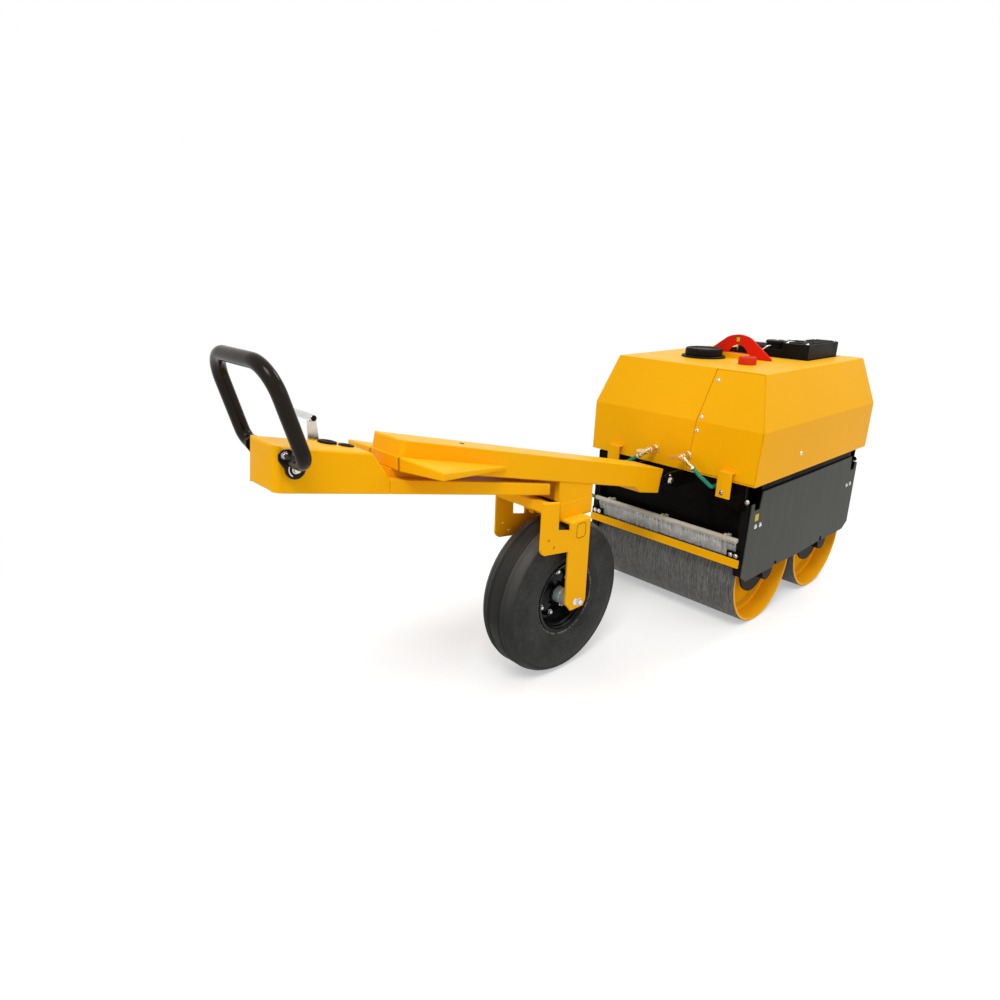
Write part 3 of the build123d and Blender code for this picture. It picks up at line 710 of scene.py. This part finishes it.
SLOT_OF = {node: slot for slot, nodes in {
    "plate_grey": ("side_plates", "hub_carriers"),
    "frame_black": ("deck_frame", "end_guards", "mount_brackets", "hitch_bracket", "hinge_tube"),
    "red_paint": ("lifting_frame",),
    "red_plastic": ("fuel_cap",),
    "black_plastic": ("filler_neck", "filler_cap", "engine_cowl", "air_filter", "console_dials", "hood_mounts"),
    "engine_metal": ("engine_block",),
    "exhaust_steel": ("muffler",),
    "brass": ("water_valves",),
    "pipe_plastic": ("spray_pipes",),
    "green_hose": ("hose_left", "hose_right"),
    "brush_fibre": ("brush_strips",),
    "drum_steel": ("rear_drum_shell",),
    "front drum": ("front_drum_shell",),
    "zinc_steel": ("wheel_axle", "wheel_hub", "mode_lever", "handle_pivots"),
    "handle_black": ("bail_handle",),
    "rim_black": ("wheel_rim",),
    "tyre": ("tyre",),
}.items() for node in nodes}


class ROLLER_OT_stage(bpy.types.Operator):
    """Lay the pale floor, light it softly and place the camera"""

    bl_idname = "road_roller.stage"
    bl_label = "Stage"

    def execute(self, context):
        sizes = context.scene.roller_sizes
        radius, steps = 60.0, 96
        angle = full_turn(steps)
        rings = np.array([1e-6, 3.0, 12.0, radius])
        points = np.stack([rings[:, None] * np.cos(angle), rings[:, None] * np.sin(angle),
                           np.zeros((len(rings), steps))], -1)
        skin = weave(points, wrap_columns=True)
        mesh = bpy.data.meshes.new("floor")
        mesh.from_pydata(skin.points.tolist(), [], skin.quads[:, ::-1].tolist())
        placed("floor", mesh)
        mesh.materials.append(self.ground())
        self.sky(sizes.sky)
        self.lamp("key", (-3.6, -2.2, 6.0), (0.0, 0.0, 0.5), 2.2, sizes.key)
        self.lamp("fill", (3.5, -5.5, 3.5), (0.2, 0.0, 0.5), 3.0, sizes.key * 0.18)
        self.lamp("edges", (4.5, -0.5, 5.5), (-0.2, 0.0, 0.6), 2.0, sizes.key * 0.5)
        self.camera(context, sizes.lens)
        context.scene.view_settings.view_transform = "Standard"
        return {"FINISHED"}

    def ground(self):
        """Pale matt floor that lights the machine from below: what is seen of it keeps the shadow near the machine
        and turns to plain white away from it."""
        f = Finish("floor", Base_Color=(0.72, 0.72, 0.72), Roughness=0.9, Specular_IOR_Level=0.1)
        matt = Value(f, f.shader.outputs[0])
        glow, white = (f.node("ShaderNodeEmission", {}, {"Strength": strength}) for strength in (0.4, 1.0))
        near = f.node("ShaderNodeAddShader", {}, {0: matt, 1: glow})
        away = f.ease(f.vector("LENGTH", f.place, output="Value"), 1.6, 2.6)
        shown = f.node("ShaderNodeMixShader", {}, {0: away, 1: near, 2: white})
        f.put(f.end, f.node("ShaderNodeMixShader", {}, {0: f.seen(), 1: matt, 2: shown}))
        return f.material

    def sky(self, strength):
        """Plain white sky, dimmer for what it lights than for what is seen of it, also in metal."""
        world = bpy.data.worlds.new("sky")
        bpy.context.scene.world = world
        w = Wiring(world)
        level = w.ease(w.seen(), 0.0, 1.0, strength, 1.0, "LINEAR")
        back = w.node("ShaderNodeBackground", {}, {"Color": (1.0, 1.0, 1.0), "Strength": level})
        w.put(w.tree.nodes.new("ShaderNodeOutputWorld").inputs[0], back)

    def lamp(self, name, spot, target, size, power):
        light = bpy.data.lights.new(name, "AREA")
        light.size = size
        light.energy = power
        aim = Vector(target) - Vector(spot)
        placed(name, light).matrix_world = Matrix.Translation(spot) @ aim.to_track_quat("-Z", "Y").to_matrix().to_4x4()

    def camera(self, context, lens):
        """Camera turned by yaw, pitch and roll, all in degrees."""
        yaw, pitch, roll = np.radians((46.5, -18.6, 1.5))
        forward = np.array((np.cos(yaw) * np.cos(pitch), np.sin(yaw) * np.cos(pitch), np.sin(pitch)))
        right = np.array((np.sin(yaw), -np.cos(yaw), 0.0))
        up = np.cross(right, forward)
        right, up = right * np.cos(roll) + up * np.sin(roll), up * np.cos(roll) - right * np.sin(roll)
        data = bpy.data.cameras.new("camera")
        data.lens = lens
        data.clip_end = 200.0
        camera = placed("camera", data)
        turn = Matrix(np.stack([right, up, -forward], 1).tolist()).to_4x4()
        camera.matrix_world = Matrix.Translation(at(-2472.2, -1431.7, 1313.2)) @ turn
        context.scene.camera = camera


class ROLLER_OT_folds(bpy.types.Operator):
    """Roll over the edges of the sheet metal, and fold the wing plates"""

    bl_idname = "road_roller.folds"
    bl_label = "Folded sheet metal"

    def execute(self, context):
        for node, width in (("hood", 4.0), ("service_cover", 2.5), ("side_plates", 2.0), ("lifting_frame", 1.5),
                            ("deck_frame", 2.0), ("end_guards", 1.2), ("engine_cowl", 4.0), ("mount_brackets", 1.0),
                            ("hitch_bracket", 2.0), ("scraper_bars", 1.2)):
            eased_copy(node, "chassis", width * MM)
        for node, width in (("console", 7.0), ("upper_beam", 5.0), ("lower_beam", 4.0), ("fork", 2.5),
                            ("tiller_spine", 2.0)):
            eased_copy(node, "tiller", width * MM)
        rear, apex, front = -1519.5, -1497.0, -1154.0
        # x and y of each corner, with the depths of its top and of its lower edge below the beam's top
        line = np.array([(rear, 60, 43.5, 80), (apex, 211, 50, 69.5), (front, 67, 41, 52), (front + 14, 60, 41, 52)])
        beam_x, beam_top, fall = -1506, 903, 0.2417
        line[:, 2:] = beam_top - fall * (line[:, :1] - beam_x) - line[:, 2:]
        wings = both_sides(folded_plate(line, 5.0, 4.5, (0.6, 7, 0.6, 0.6)))
        ledge = block((rear + 0.2, -66, line[0, 3]), (rear + 6, 66, line[0, 2] - 0.2), 1.5)
        piece("folded_wings", wings + ledge, "tiller", "yellow_paint", ("wing_plates",))
        plug = lathe([(0, 0), (7, 0), (7, 1.2), (5.5, 2), (0, 2)], at(-1262, 2, 843.8), (0.235, 0, 0.972), 32)
        piece("beam_plug", plug, "tiller", "black_plastic")
        hangers = together([block((-268, y, 545), (-262, y + 55, 640.5), 1.0)
                            + block((-265, y, 634), (-238, y + 55, 641), 1.5)
                            + block((-263, y + 16, 555), (-238, y + 44, 562)) for y in (-285, 209)])
        piece("folded_hangers", hangers, "chassis", "yellow_paint", ("tank_hangers",))
        return {"FINISHED"}


class ROLLER_OT_drums(bpy.types.Operator):
    """Turn both drums: the rolling faces and the dished ends set into them"""

    bl_idname = "road_roller.drums"
    bl_label = "Drums"

    def execute(self, context):
        shell = oblong(206, DRUM_R, -DRUM_HALF, DRUM_HALF, (1.5, 3.5, 3.5, 1.5), 4)
        dish = [(206, 262), (186, 262), (186, 238), (60, 238), (60, 250), (30.5, 250), (30.5, 196), (60, 196),
                (60, 226), (206, 226)]
        for end, axle, steel in (("rear", REAR_AXLE, "drum_steel"), ("front", FRONT_AXLE, "front drum")):
            body = end + "_drum"
            piece(end + "_rolling_face", lathe(shell, axle, steps=192, ring=True), body, "drum_steel",
                  (body + "_shell",), FINISHES[steel], 50)
            piece(end + "_drum_dishes", both_sides(turned(dish, 2.5, axle, steps=128, ring=True)), body, "yellow_paint",
                  (body + "_ends",), smooth=38)
        return {"FINISHED"}


class ROLLER_OT_wheel(bpy.types.Operator):
    """Turn the ribbed tyre, the lacquered rim and disc, and the plated hub, axle and bolts"""

    bl_idname = "road_roller.wheel"
    bl_label = "Support wheel"

    def execute(self, context):
        deep = context.scene.roller_sizes.groove
        half = [(269.2, 0), (268.8, 17), (269.5 - deep, 23), (269.5 - deep, 27), (269.8, 32), (269, 36),
                (269 - deep, 40), (268.5 - deep, 43), (266.2, 47), (262.5, 54), (257, 62), (253, 66.5), (247, 68.5),
                (243, 68), (238, 69), (234, 70.5), (214, 74.2), (190, 75.6), (170, 74.4), (158, 72.5), (156.5, 73.4),
                (153, 73.2), (151.5, 71.4), (138, 65), (133, 61.6), (130.5, 61.4), (127, 58.4)]
        outer = np.array(half)
        line = rounded(np.concatenate([outer[::-1] * (1, -1), outer[1:]]), 3.0, 4)
        inside = mirrored([(118, 56), (112, 44)])
        skin = lathe(np.concatenate([line, inside]), WHEEL_AXLE, steps=160, ring=True)
        piece("ribbed_tyre", skin, "support_wheel", "tyre", ("tyre",), smooth=50)
        rim = mirrored([(85, 6), (104, 6), (104, 34), (101, 37), (101, 42), (106, 45), (107, 53), (113, 56), (114, 60),
                        (123, 62.5), (126, 61), (125, 58), (118, 56), (112, 44)])
        disc = mirrored([(12.2, 28), (29, 28), (31, 26), (31, 18), (42, 11), (66, 8), (85, 6)])
        lacquered = (turned(rim, 1.6, WHEEL_AXLE, steps=128, ring=True)
                     + turned(disc, 1.6, WHEEL_AXLE, steps=96, ring=True))
        piece("rim_and_disc", lacquered, "support_wheel", "rim_black", ("wheel_rim",))
        sleeve = [(12.3, 26), (27, 26), (27, 52), (25.8, 54), (27, 56), (27, 78), (25.5, 80), (12.3, 80)]
        piece("hub_sleeves", both_sides(turned(sleeve, 0.6, WHEEL_AXLE, ring=True)), "support_wheel", "zinc_steel",
              ("wheel_hub",), FINISHES["hub steel"])
        screws = [ring_of(lambda spot: bolt(spot, (0, side, 0), 13, 8, 9), WHEEL_AXLE + (0, side * 7.5 * MM, 0),
                          LEFT, 72, 8, 0.2) for side in (-1, 1)]
        piece("disc_screws", together(screws), "support_wheel", "zinc_steel")
        bar = [(0, -107), (11, -107), (12, -106), (12, -97), (20, -97), (20, -86), (12, -86)]
        axle = lathe(mirrored(bar), WHEEL_AXLE, steps=48)
        for side in (-1, 1):
            axle += bolt(at(-843, 105 * side, 265), (0, side, 0), 19, 9, 13)
        piece("axle_and_locks", axle, "tiller", "zinc_steel", ("wheel_axle",))
        return {"FINISHED"}


class ROLLER_OT_screws(bpy.types.Operator):
    """Set the plated screws and bolts of the hood, hangers, guards, scrapers and side plates"""

    bl_idname = "road_roller.screws"
    bl_label = "Screws and bolts"

    def execute(self, context):
        upper, lower, wall = (-0.949, 0, 0.316), (-1, 0, 0.042), (0, -1, 0.027)
        heads = [button(at(-187.3, -142, 943), upper, 8.5, 5.5), button(at(-231.3, -118, 811), upper, 8.5, 5.5),
                 button(at(-238.4, -110, 760), lower, 8.5, 5.5), button(at(81, -364.6, 676), wall, 8.5, 5.5)]
        fixed = [bolt(at(-230, -334, 541), BACK, 12, 7, 10),
                 bolt(at(-242, -306, 336), BACK, 10, 6, 8.5), bolt(at(-242, -327, 336), BACK, 10, 6, 8.5)]
        for x, z in ((-176, 442), (-141, 441)):
            fixed.append(bolt(at(x, -PLATE_FACE, z), RIGHT, 10, 5, 9))
        fixed = both_ends(both_sides(together(fixed)))
        for y in (-252, 242):
            fixed += bolt(at(-268, y, 564), BACK, 11, 5, 9)
        pivots = both_sides(bolt(at(-355, -94, 588), RIGHT, 19, 8, 15)
                            + button(at(-343, -84, 601), RIGHT, 6, 4))
        piece("chassis_screws", together(heads) + fixed + pivots, "chassis", "zinc_steel")
        return {"FINISHED"}


class ROLLER_OT_labels(bpy.types.Operator):
    """Lay the blank labels on the fork, the side plates and the lifting plate"""

    bl_idname = "road_roller.labels"
    bl_label = "Blank labels"

    def execute(self, context):
        flat = enamel("label film", (0.62, 0.50, 0.035), 0.4, 0.0, 0.0)
        ring = rounded([(-22, -17), (-15, -25), (15, -25), (22, -17), (22, 17), (15, 25), (-15, 25), (-22, 17)], 3, 3,
                       True)
        mark = frame_line(ring, 1.5, 0.4, at(-853, -105, 520), AHEAD, UP)
        piece("fork_label_outline", mark, "tiller", "frame_black", smooth=30)
        side = slab(oblong(-13, 13, -13, 13, 2), 0.5, at(-173, -PLATE_FACE, 476), AHEAD, UP, 0.15)
        piece("side_plate_label", side, "chassis", None, finish=flat, smooth=30)
        face = at(185, 3, 1054)
        plate = oblong(-8, 8, -9, 9, 1.5)
        piece("lifting_label", slab(plate, 0.5, face, RIGHT, UP, 0.15), "chassis", None, finish=flat, smooth=30)
        piece("lifting_label_outline", frame_line(plate * 1.08, 1.2, 0.7, face, RIGHT, UP), "chassis",
              "frame_black", smooth=30)
        return {"FINISHED"}


class ROLLER_OT_caps(bpy.types.Operator):
    """Turn the water cap with its neck and the gripped fuel cap"""

    bl_idname = "road_roller.caps"
    bl_label = "Caps"

    def execute(self, context):
        neck = [(54, 941), (60, 941), (60, 983), (86, 983), (86, 988), (83, 991), (54, 991)]
        lid = [(0, 971), (53, 971), (53, 991), (70, 991), (72.5, 994), (72.5, 1012), (69, 1019), (62, 1019),
               (56, 1014.5), (0, 1013.5)]
        spot = at(82, 90, 0)
        piece("water_neck", turned(neck, 1.5, spot, UP, 96, True), "chassis", "black_plastic", ("filler_neck",),
              smooth=38)
        ribs = 1 - 0.012 * (np.cos(full_turn(288) * 48) > 0.2)
        piece("water_lid", turned(lid, 2.2, spot, UP, 288, arc=4, shaped=ribs), "chassis", "black_plastic",
              ("filler_cap",), smooth=38)
        cap = [(0, 961), (21, 961), (21, 983), (32, 983), (33, 985), (33, 1005), (29.5, 1011), (12, 1011), (11, 1008),
               (0, 1008)]
        grips = 1 - 0.05 * np.cos(full_turn(144) * 12) ** 2
        piece("fuel_lid", turned(cap, 1.8, at(18, -135, 0), UP, 144, arc=4, shaped=grips), "chassis", "red_plastic",
              ("fuel_cap",), smooth=38)
        return {"FINISHED"}


class ROLLER_OT_engine(bpy.types.Operator):
    """Build what shows of the engine: cowl ribs, air filter lid, silencer and strap"""

    bl_idname = "road_roller.engine"
    bl_label = "Engine top"

    def execute(self, context):
        spot = at(395, -58, 0)
        lid = [(0, 1015), (38, 1015), (38, 1033), (43, 1035), (43, 1043), (40, 1046), (0, 1046)]
        grips = 1 - 0.02 * np.cos(full_turn(192) * 24) ** 2
        black = turned(lid, 1.5, spot, UP, 192, shaped=grips)
        for x in np.arange(375, 500, 15):
            black += block((x, -102, 1014.5), (x + 5, 87, 1020))
        for x in np.arange(372, 620, 22):
            black += block((x, -208, 1042), (x + 9, -112, 1045))
        piece("cowl_ribs", black, "chassis", "black_plastic", ("air_filter",))
        can, axle = [(0, -90), (34, -90), (38, -86), (38, 186), (34, 190), (0, 190)], at(SILENCER_X, 0, SILENCER_Z)
        steel = turned(can, 3, axle) + block((540, -80, 940), (580, 180, 952))
        for y in (-40, 50, 140):
            steel += lathe(oblong(37, 39.5, y, y + 12, 0.6), axle, ring=True)
        piece("silencer", steel, "chassis", "exhaust_steel", ("muffler",))
        strap = [at(340, -20, 1000), at(350, -40, 1022), at(420, -100, 1050), at(470, -135, 1048), at(480, -140, 1040)]
        bright = tube(rounded(strap, 0.012, 5), 0.004, steps=12)
        for x, y in ((365, -200), (365, -118), (612, -200), (612, -118)):
            bright += button(at(x, y, 1042), UP, 7, 4)
        bright += bolt(at(395, -58, 1046), UP, 12, 3, 8)
        piece("engine_screws", bright, "chassis", "zinc_steel")
        return {"FINISHED"}


class ROLLER_OT_water(bpy.types.Operator):
    """Turn the brass valves, their levers and clamps, and the clipped spray pipes"""

    bl_idname = "road_roller.water"
    bl_label = "Water fittings"

    def execute(self, context):
        brass, clamps, levers = [], [], []
        for y, z, side in ((54, 661, 1), (-91, 665, -1)):
            start = at(-240, y, z)
            brass.append(lathe([(0, 0), (13.5, 0), (13.5, 9), (12, 10.5), (0, 10.5)], start, BACK, 36, sides=6))
            body = [(0, 8), (9, 8), (9, 20), (12.5, 25), (13.5, 34), (12.5, 43), (9, 47), (9, 52), (11.5, 52),
                    (11.5, 58), (9.5, 60), (0, 60)]
            brass.append(turned(body, 1.2, start, BACK, 40))
            away = unit((0, 42 * side, -29))
            middle = at(-285, y, z)
            spout = [(0, 4), (10, 4), (10, 16), (7, 18), (7, 30), (8, 33), (6.6, 36), (8, 39), (6.6, 42), (6.6, 51),
                     (0, 51)]
            brass.append(turned(spout, 0.7, middle, away, 36))
            stem = at(-299, y, z)
            brass.append(lathe([(0, 0), (6.5, 0), (6.5, 5), (5, 6.5), (0, 6.5)], stem, BACK, 30))
            blade = rounded([(-7, -6), (-7, 6), (6, 7), (40, 5.5), (45, 0), (40, -5.5), (6, -7)], 2.5, 3, True)
            levers.append(slab(blade, 3.5, stem + (-9.5 * MM, 0, 0), (0, 0.985, -0.17), (0, 0.17, 0.985), 0.6))
            levers.append(bolt(stem + (-9 * MM, 0, 0), BACK, 8, 4, 5.5))
            band = [(7.05, 52), (8.8, 52), (9.2, 53), (9.2, 61), (8.8, 62), (7.05, 62)]
            clamps.append(turned(band, 0.4, middle, away, 36, True))
            clamps.append(bolt(middle + away * 57 * MM + np.array((-9, 0, 0)) * MM, BACK, 6, 5, 4))
        piece("valve_bodies", together(brass), "chassis", "brass", ("water_valves",))
        piece("valve_levers", together(levers), "chassis", "brass")
        piece("hose_clamps", together(clamps), "chassis", "zinc_steel")
        run, axis = mirrored([(0, -325), (8, -325), (9, -324)]), at(PIPE_X, 0, PIPE_Z)
        pipe = turned(run, 0.5, axis, steps=40)
        for y in (-276, -4, 257):
            pipe += lathe(oblong(8.8, 12, y - 7, y + 7, 0.8), axis, steps=36, ring=True)
            pipe += block((-232, y - 7, 386), (-205, y + 7, 400)) + block((-246, y - 5, 402), (-234, y + 5, 408))
        piece("sprinkler_pipes", both_ends(pipe), "chassis", "pipe_plastic", ("spray_pipes",))
        return {"FINISHED"}


class ROLLER_OT_brushes(bpy.types.Operator):
    """Plant the brush strands that wipe the drums"""

    bl_idname = "road_roller.brushes"
    bl_label = "Brushes"

    def execute(self, context):
        count = context.scene.roller_sizes.strands
        rng = np.random.default_rng(7)
        y = np.linspace(-BRUSH_HALF, BRUSH_HALF, count) + rng.normal(0, 0.3, count)
        tuft = np.round(y / 9.0)
        lean = np.sin(tuft * 2.4) * 2.2 + rng.normal(0, 1.6, count)
        depth = rng.uniform(0, 1, count)
        root = np.stack([-234 + 9 * depth, y, np.full(count, 389.0)], -1)
        tip = np.stack([-214 + 13 * depth + rng.normal(0, 0.7, count), y + lean,
                        BRUSH_TIP + rng.normal(0, 1.6, count)], -1)
        skin = both_ends(self.strands(root, tip, 0.75))
        piece("brush_strands", skin, "chassis", "brush_fibre", ("brush_strips",), smooth=80)
        holder = block((-235, -318, 387), (-224, 318, 395))
        piece("brush_holders", both_ends(holder), "chassis", "frame_black")
        return {"FINISHED"}

    def strands(self, root, tip, radius):
        """Three-sided needles, all at once: root + s (tip - root) + r(s) (cos a, sin a, 0) at s = 0, 0.5 and 1,
        bowed by the parabola 4 s (1 - s), with r falling to 0.45 of itself."""
        s = np.array([0.0, 0.5, 1.0])
        line = root[:, None] + s[None, :, None] * (tip - root)[:, None]
        line[:, 1, 0] -= 1.5
        angle = full_turn(3)
        around = np.stack([np.cos(angle), np.sin(angle), np.zeros(3)], -1)
        width = radius * (1 - 0.55 * s)
        points = line[:, :, None] + width[None, :, None, None] * around[None, None]
        cell = weave(points[0], wrap_columns=True).quads
        quads = cell[None] + np.arange(len(root))[:, None, None] * 9
        flat = points.reshape(-1, 3) * MM
        flat[:, 0] += REAR_AXLE[0]
        return Skin(flat, quads)


class ROLLER_OT_controls(bpy.types.Operator):
    """Bend the travel handle and set its pivots, the dials and the mode lever"""

    bl_idname = "road_roller.controls"
    bl_label = "Controls"

    def execute(self, context):
        pin = HANDLE_PIN

        def lean(y, z):
            return pin + np.array((-0.3 * (z - 887), y, z - 887)) * MM

        corners = [lean(y, z) for y, z in ((-82, 908), (-146, 908), (-138, 1121), (138, 1121), (146, 908),
                                           (82, 908))]
        loop = rounded(corners, (0, 0.036, 0.072, 0.072, 0.036, 0), 14)
        bail = tube(loop, 0.017, (1, 0, 0.3), 32)
        eye = [(0, 77), (24, 77), (24, 84), (22.5, 85.5), (13, 85.5), (13, 84), (0, 84)]
        lobe = rounded([(-21, -3), (15, 11), (8, 33), (-11, 45), (-26, 45), (-37, 36), (-37, 22)], 9, 5, True)
        plates = (turned(eye, 0.8, pin * (1, 0, 1))
                  + slab(lobe, 5, pin + (0, 82 * MM, 0), AHEAD, UP, 0.8))
        piece("travel_loop", bail + both_sides(plates), "travel_handle", "handle_black", ("bail_handle",))
        bright = []
        for side in (-1, 1):
            out = (0, side, 0)
            bright.append(bolt(pin + np.array((-23, side * 82, 33)) * MM, out, 12, 6, 9))
            arc = np.radians(np.linspace(120, 235, 14))
            curve = pin + np.stack([17.5 * np.cos(arc), np.full(14, side * 86.0), 17.5 * np.sin(arc)], -1) * MM
            bright.append(tube(curve, 0.0016, LEFT, 10))
        piece("cam_screws", together(bright), "travel_handle", "zinc_steel")
        post = [(0, 60), (20, 60), (20, 72), (9, 72), (9, 85.8), (0, 85.8)]
        posts = both_sides(turned(post, 0.6, pin * (1, 0, 1), steps=48)
                           + bolt(pin + (0, 85.6 * MM, 0), LEFT, 17, 9, 11))
        piece("pivot_posts", posts, "tiller", "zinc_steel", ("handle_pivots",))
        slope = unit((0.2167, 0, 0.976))
        dials = []
        for x, y, r, h in ((-1657, 34, 23, 6), (-1619, 11, 19, 4)):
            spot = at(x, y, 939 - 0.222 * (x + 1836))
            form = [(0, -0.5), (r, -0.5), (r, h - 1.5), (r - 2, h), (r - 6, h), (r - 7, h - 1.2), (0, h - 1.2)]
            dials.append(turned(form, 0.8, spot, slope))
            dials.append(slab(rounded([(-r + 8, -2), (r - 9, -1), (r - 9, 1), (-r + 8, 2)], 0.8, 3, True), 2.2,
                              spot + slope * (h - 2) * MM, (0.976, 0, -0.2167), LEFT, 0.4))
        piece("dials", together(dials), "tiller", "black_plastic", ("console_dials",))
        grip = rounded([(5.5, 57), (8.6, 56), (9, 56.5), (9, 159.5), (8.6, 160), (5.5, 160), (5.5, 158), (0, 158)],
                       0.4, 3)
        grip = np.concatenate([[(0, 62), (5.5, 61)], grip])
        tube_axis = at(LEVER_X, 0, LEVER_Z)
        plug = turned([(0, 56), (7.4, 56), (7.4, 61), (0, 61)], 0.5, tube_axis, steps=40)
        piece("mode_lever_plug", plug, "tiller", "black_plastic")
        stem = rounded([(-11, 0), (11, 0), (15, -42), (17, -76), (10, -84), (-9, -84), (-15, -76), (-13, -42)], 3, 3,
                       True)
        lever = lathe(grip, tube_axis, steps=40)
        lever += slab(stem, 5, at(LEVER_X, 71, 955), AHEAD, UP, 0.6)
        lever += bolt(at(-1674, 71, 884), LEFT, 13, 7, 10)
        piece("mode_lever_tube", lever, "tiller", "zinc_steel", ("mode_lever",))
        return {"FINISHED"}


PARTS = (ROLLER_OT_finishes, ROLLER_OT_folds, ROLLER_OT_drums, ROLLER_OT_wheel, ROLLER_OT_screws, ROLLER_OT_labels,
         ROLLER_OT_caps, ROLLER_OT_engine, ROLLER_OT_water, ROLLER_OT_brushes, ROLLER_OT_controls, ROLLER_OT_stage)


class ROLLER_PT_panel(bpy.types.Panel):
    """Lists the makers of the road roller's dressing"""

    bl_idname = "ROLLER_PT_panel"
    bl_label = "Road Roller"
    bl_space_type = "VIEW_3D"
    bl_region_type = "UI"
    bl_category = "Road Roller"

    def draw(self, context):
        for part in PARTS:
            self.layout.operator(part.bl_idname)
        for group in (context.scene.roller_colours, context.scene.roller_sizes):
            for key in group.__annotations__:
                self.layout.prop(group, key)


CLASSES = (RollerColours, RollerSizes, *PARTS, ROLLER_PT_panel)


def register():
    for cls in CLASSES:
        bpy.utils.register_class(cls)
    bpy.types.Scene.roller_colours = bpy.props.PointerProperty(type=RollerColours)
    bpy.types.Scene.roller_sizes = bpy.props.PointerProperty(type=RollerSizes)


def unregister():
    del bpy.types.Scene.roller_sizes
    del bpy.types.Scene.roller_colours
    for cls in reversed(CLASSES):
        bpy.utils.unregister_class(cls)


def main():
    register()
    for part in PARTS:
        group, name = part.bl_idname.split(".")
        getattr(getattr(bpy.ops, group), name)()


if __name__ == "__main__":
    main()
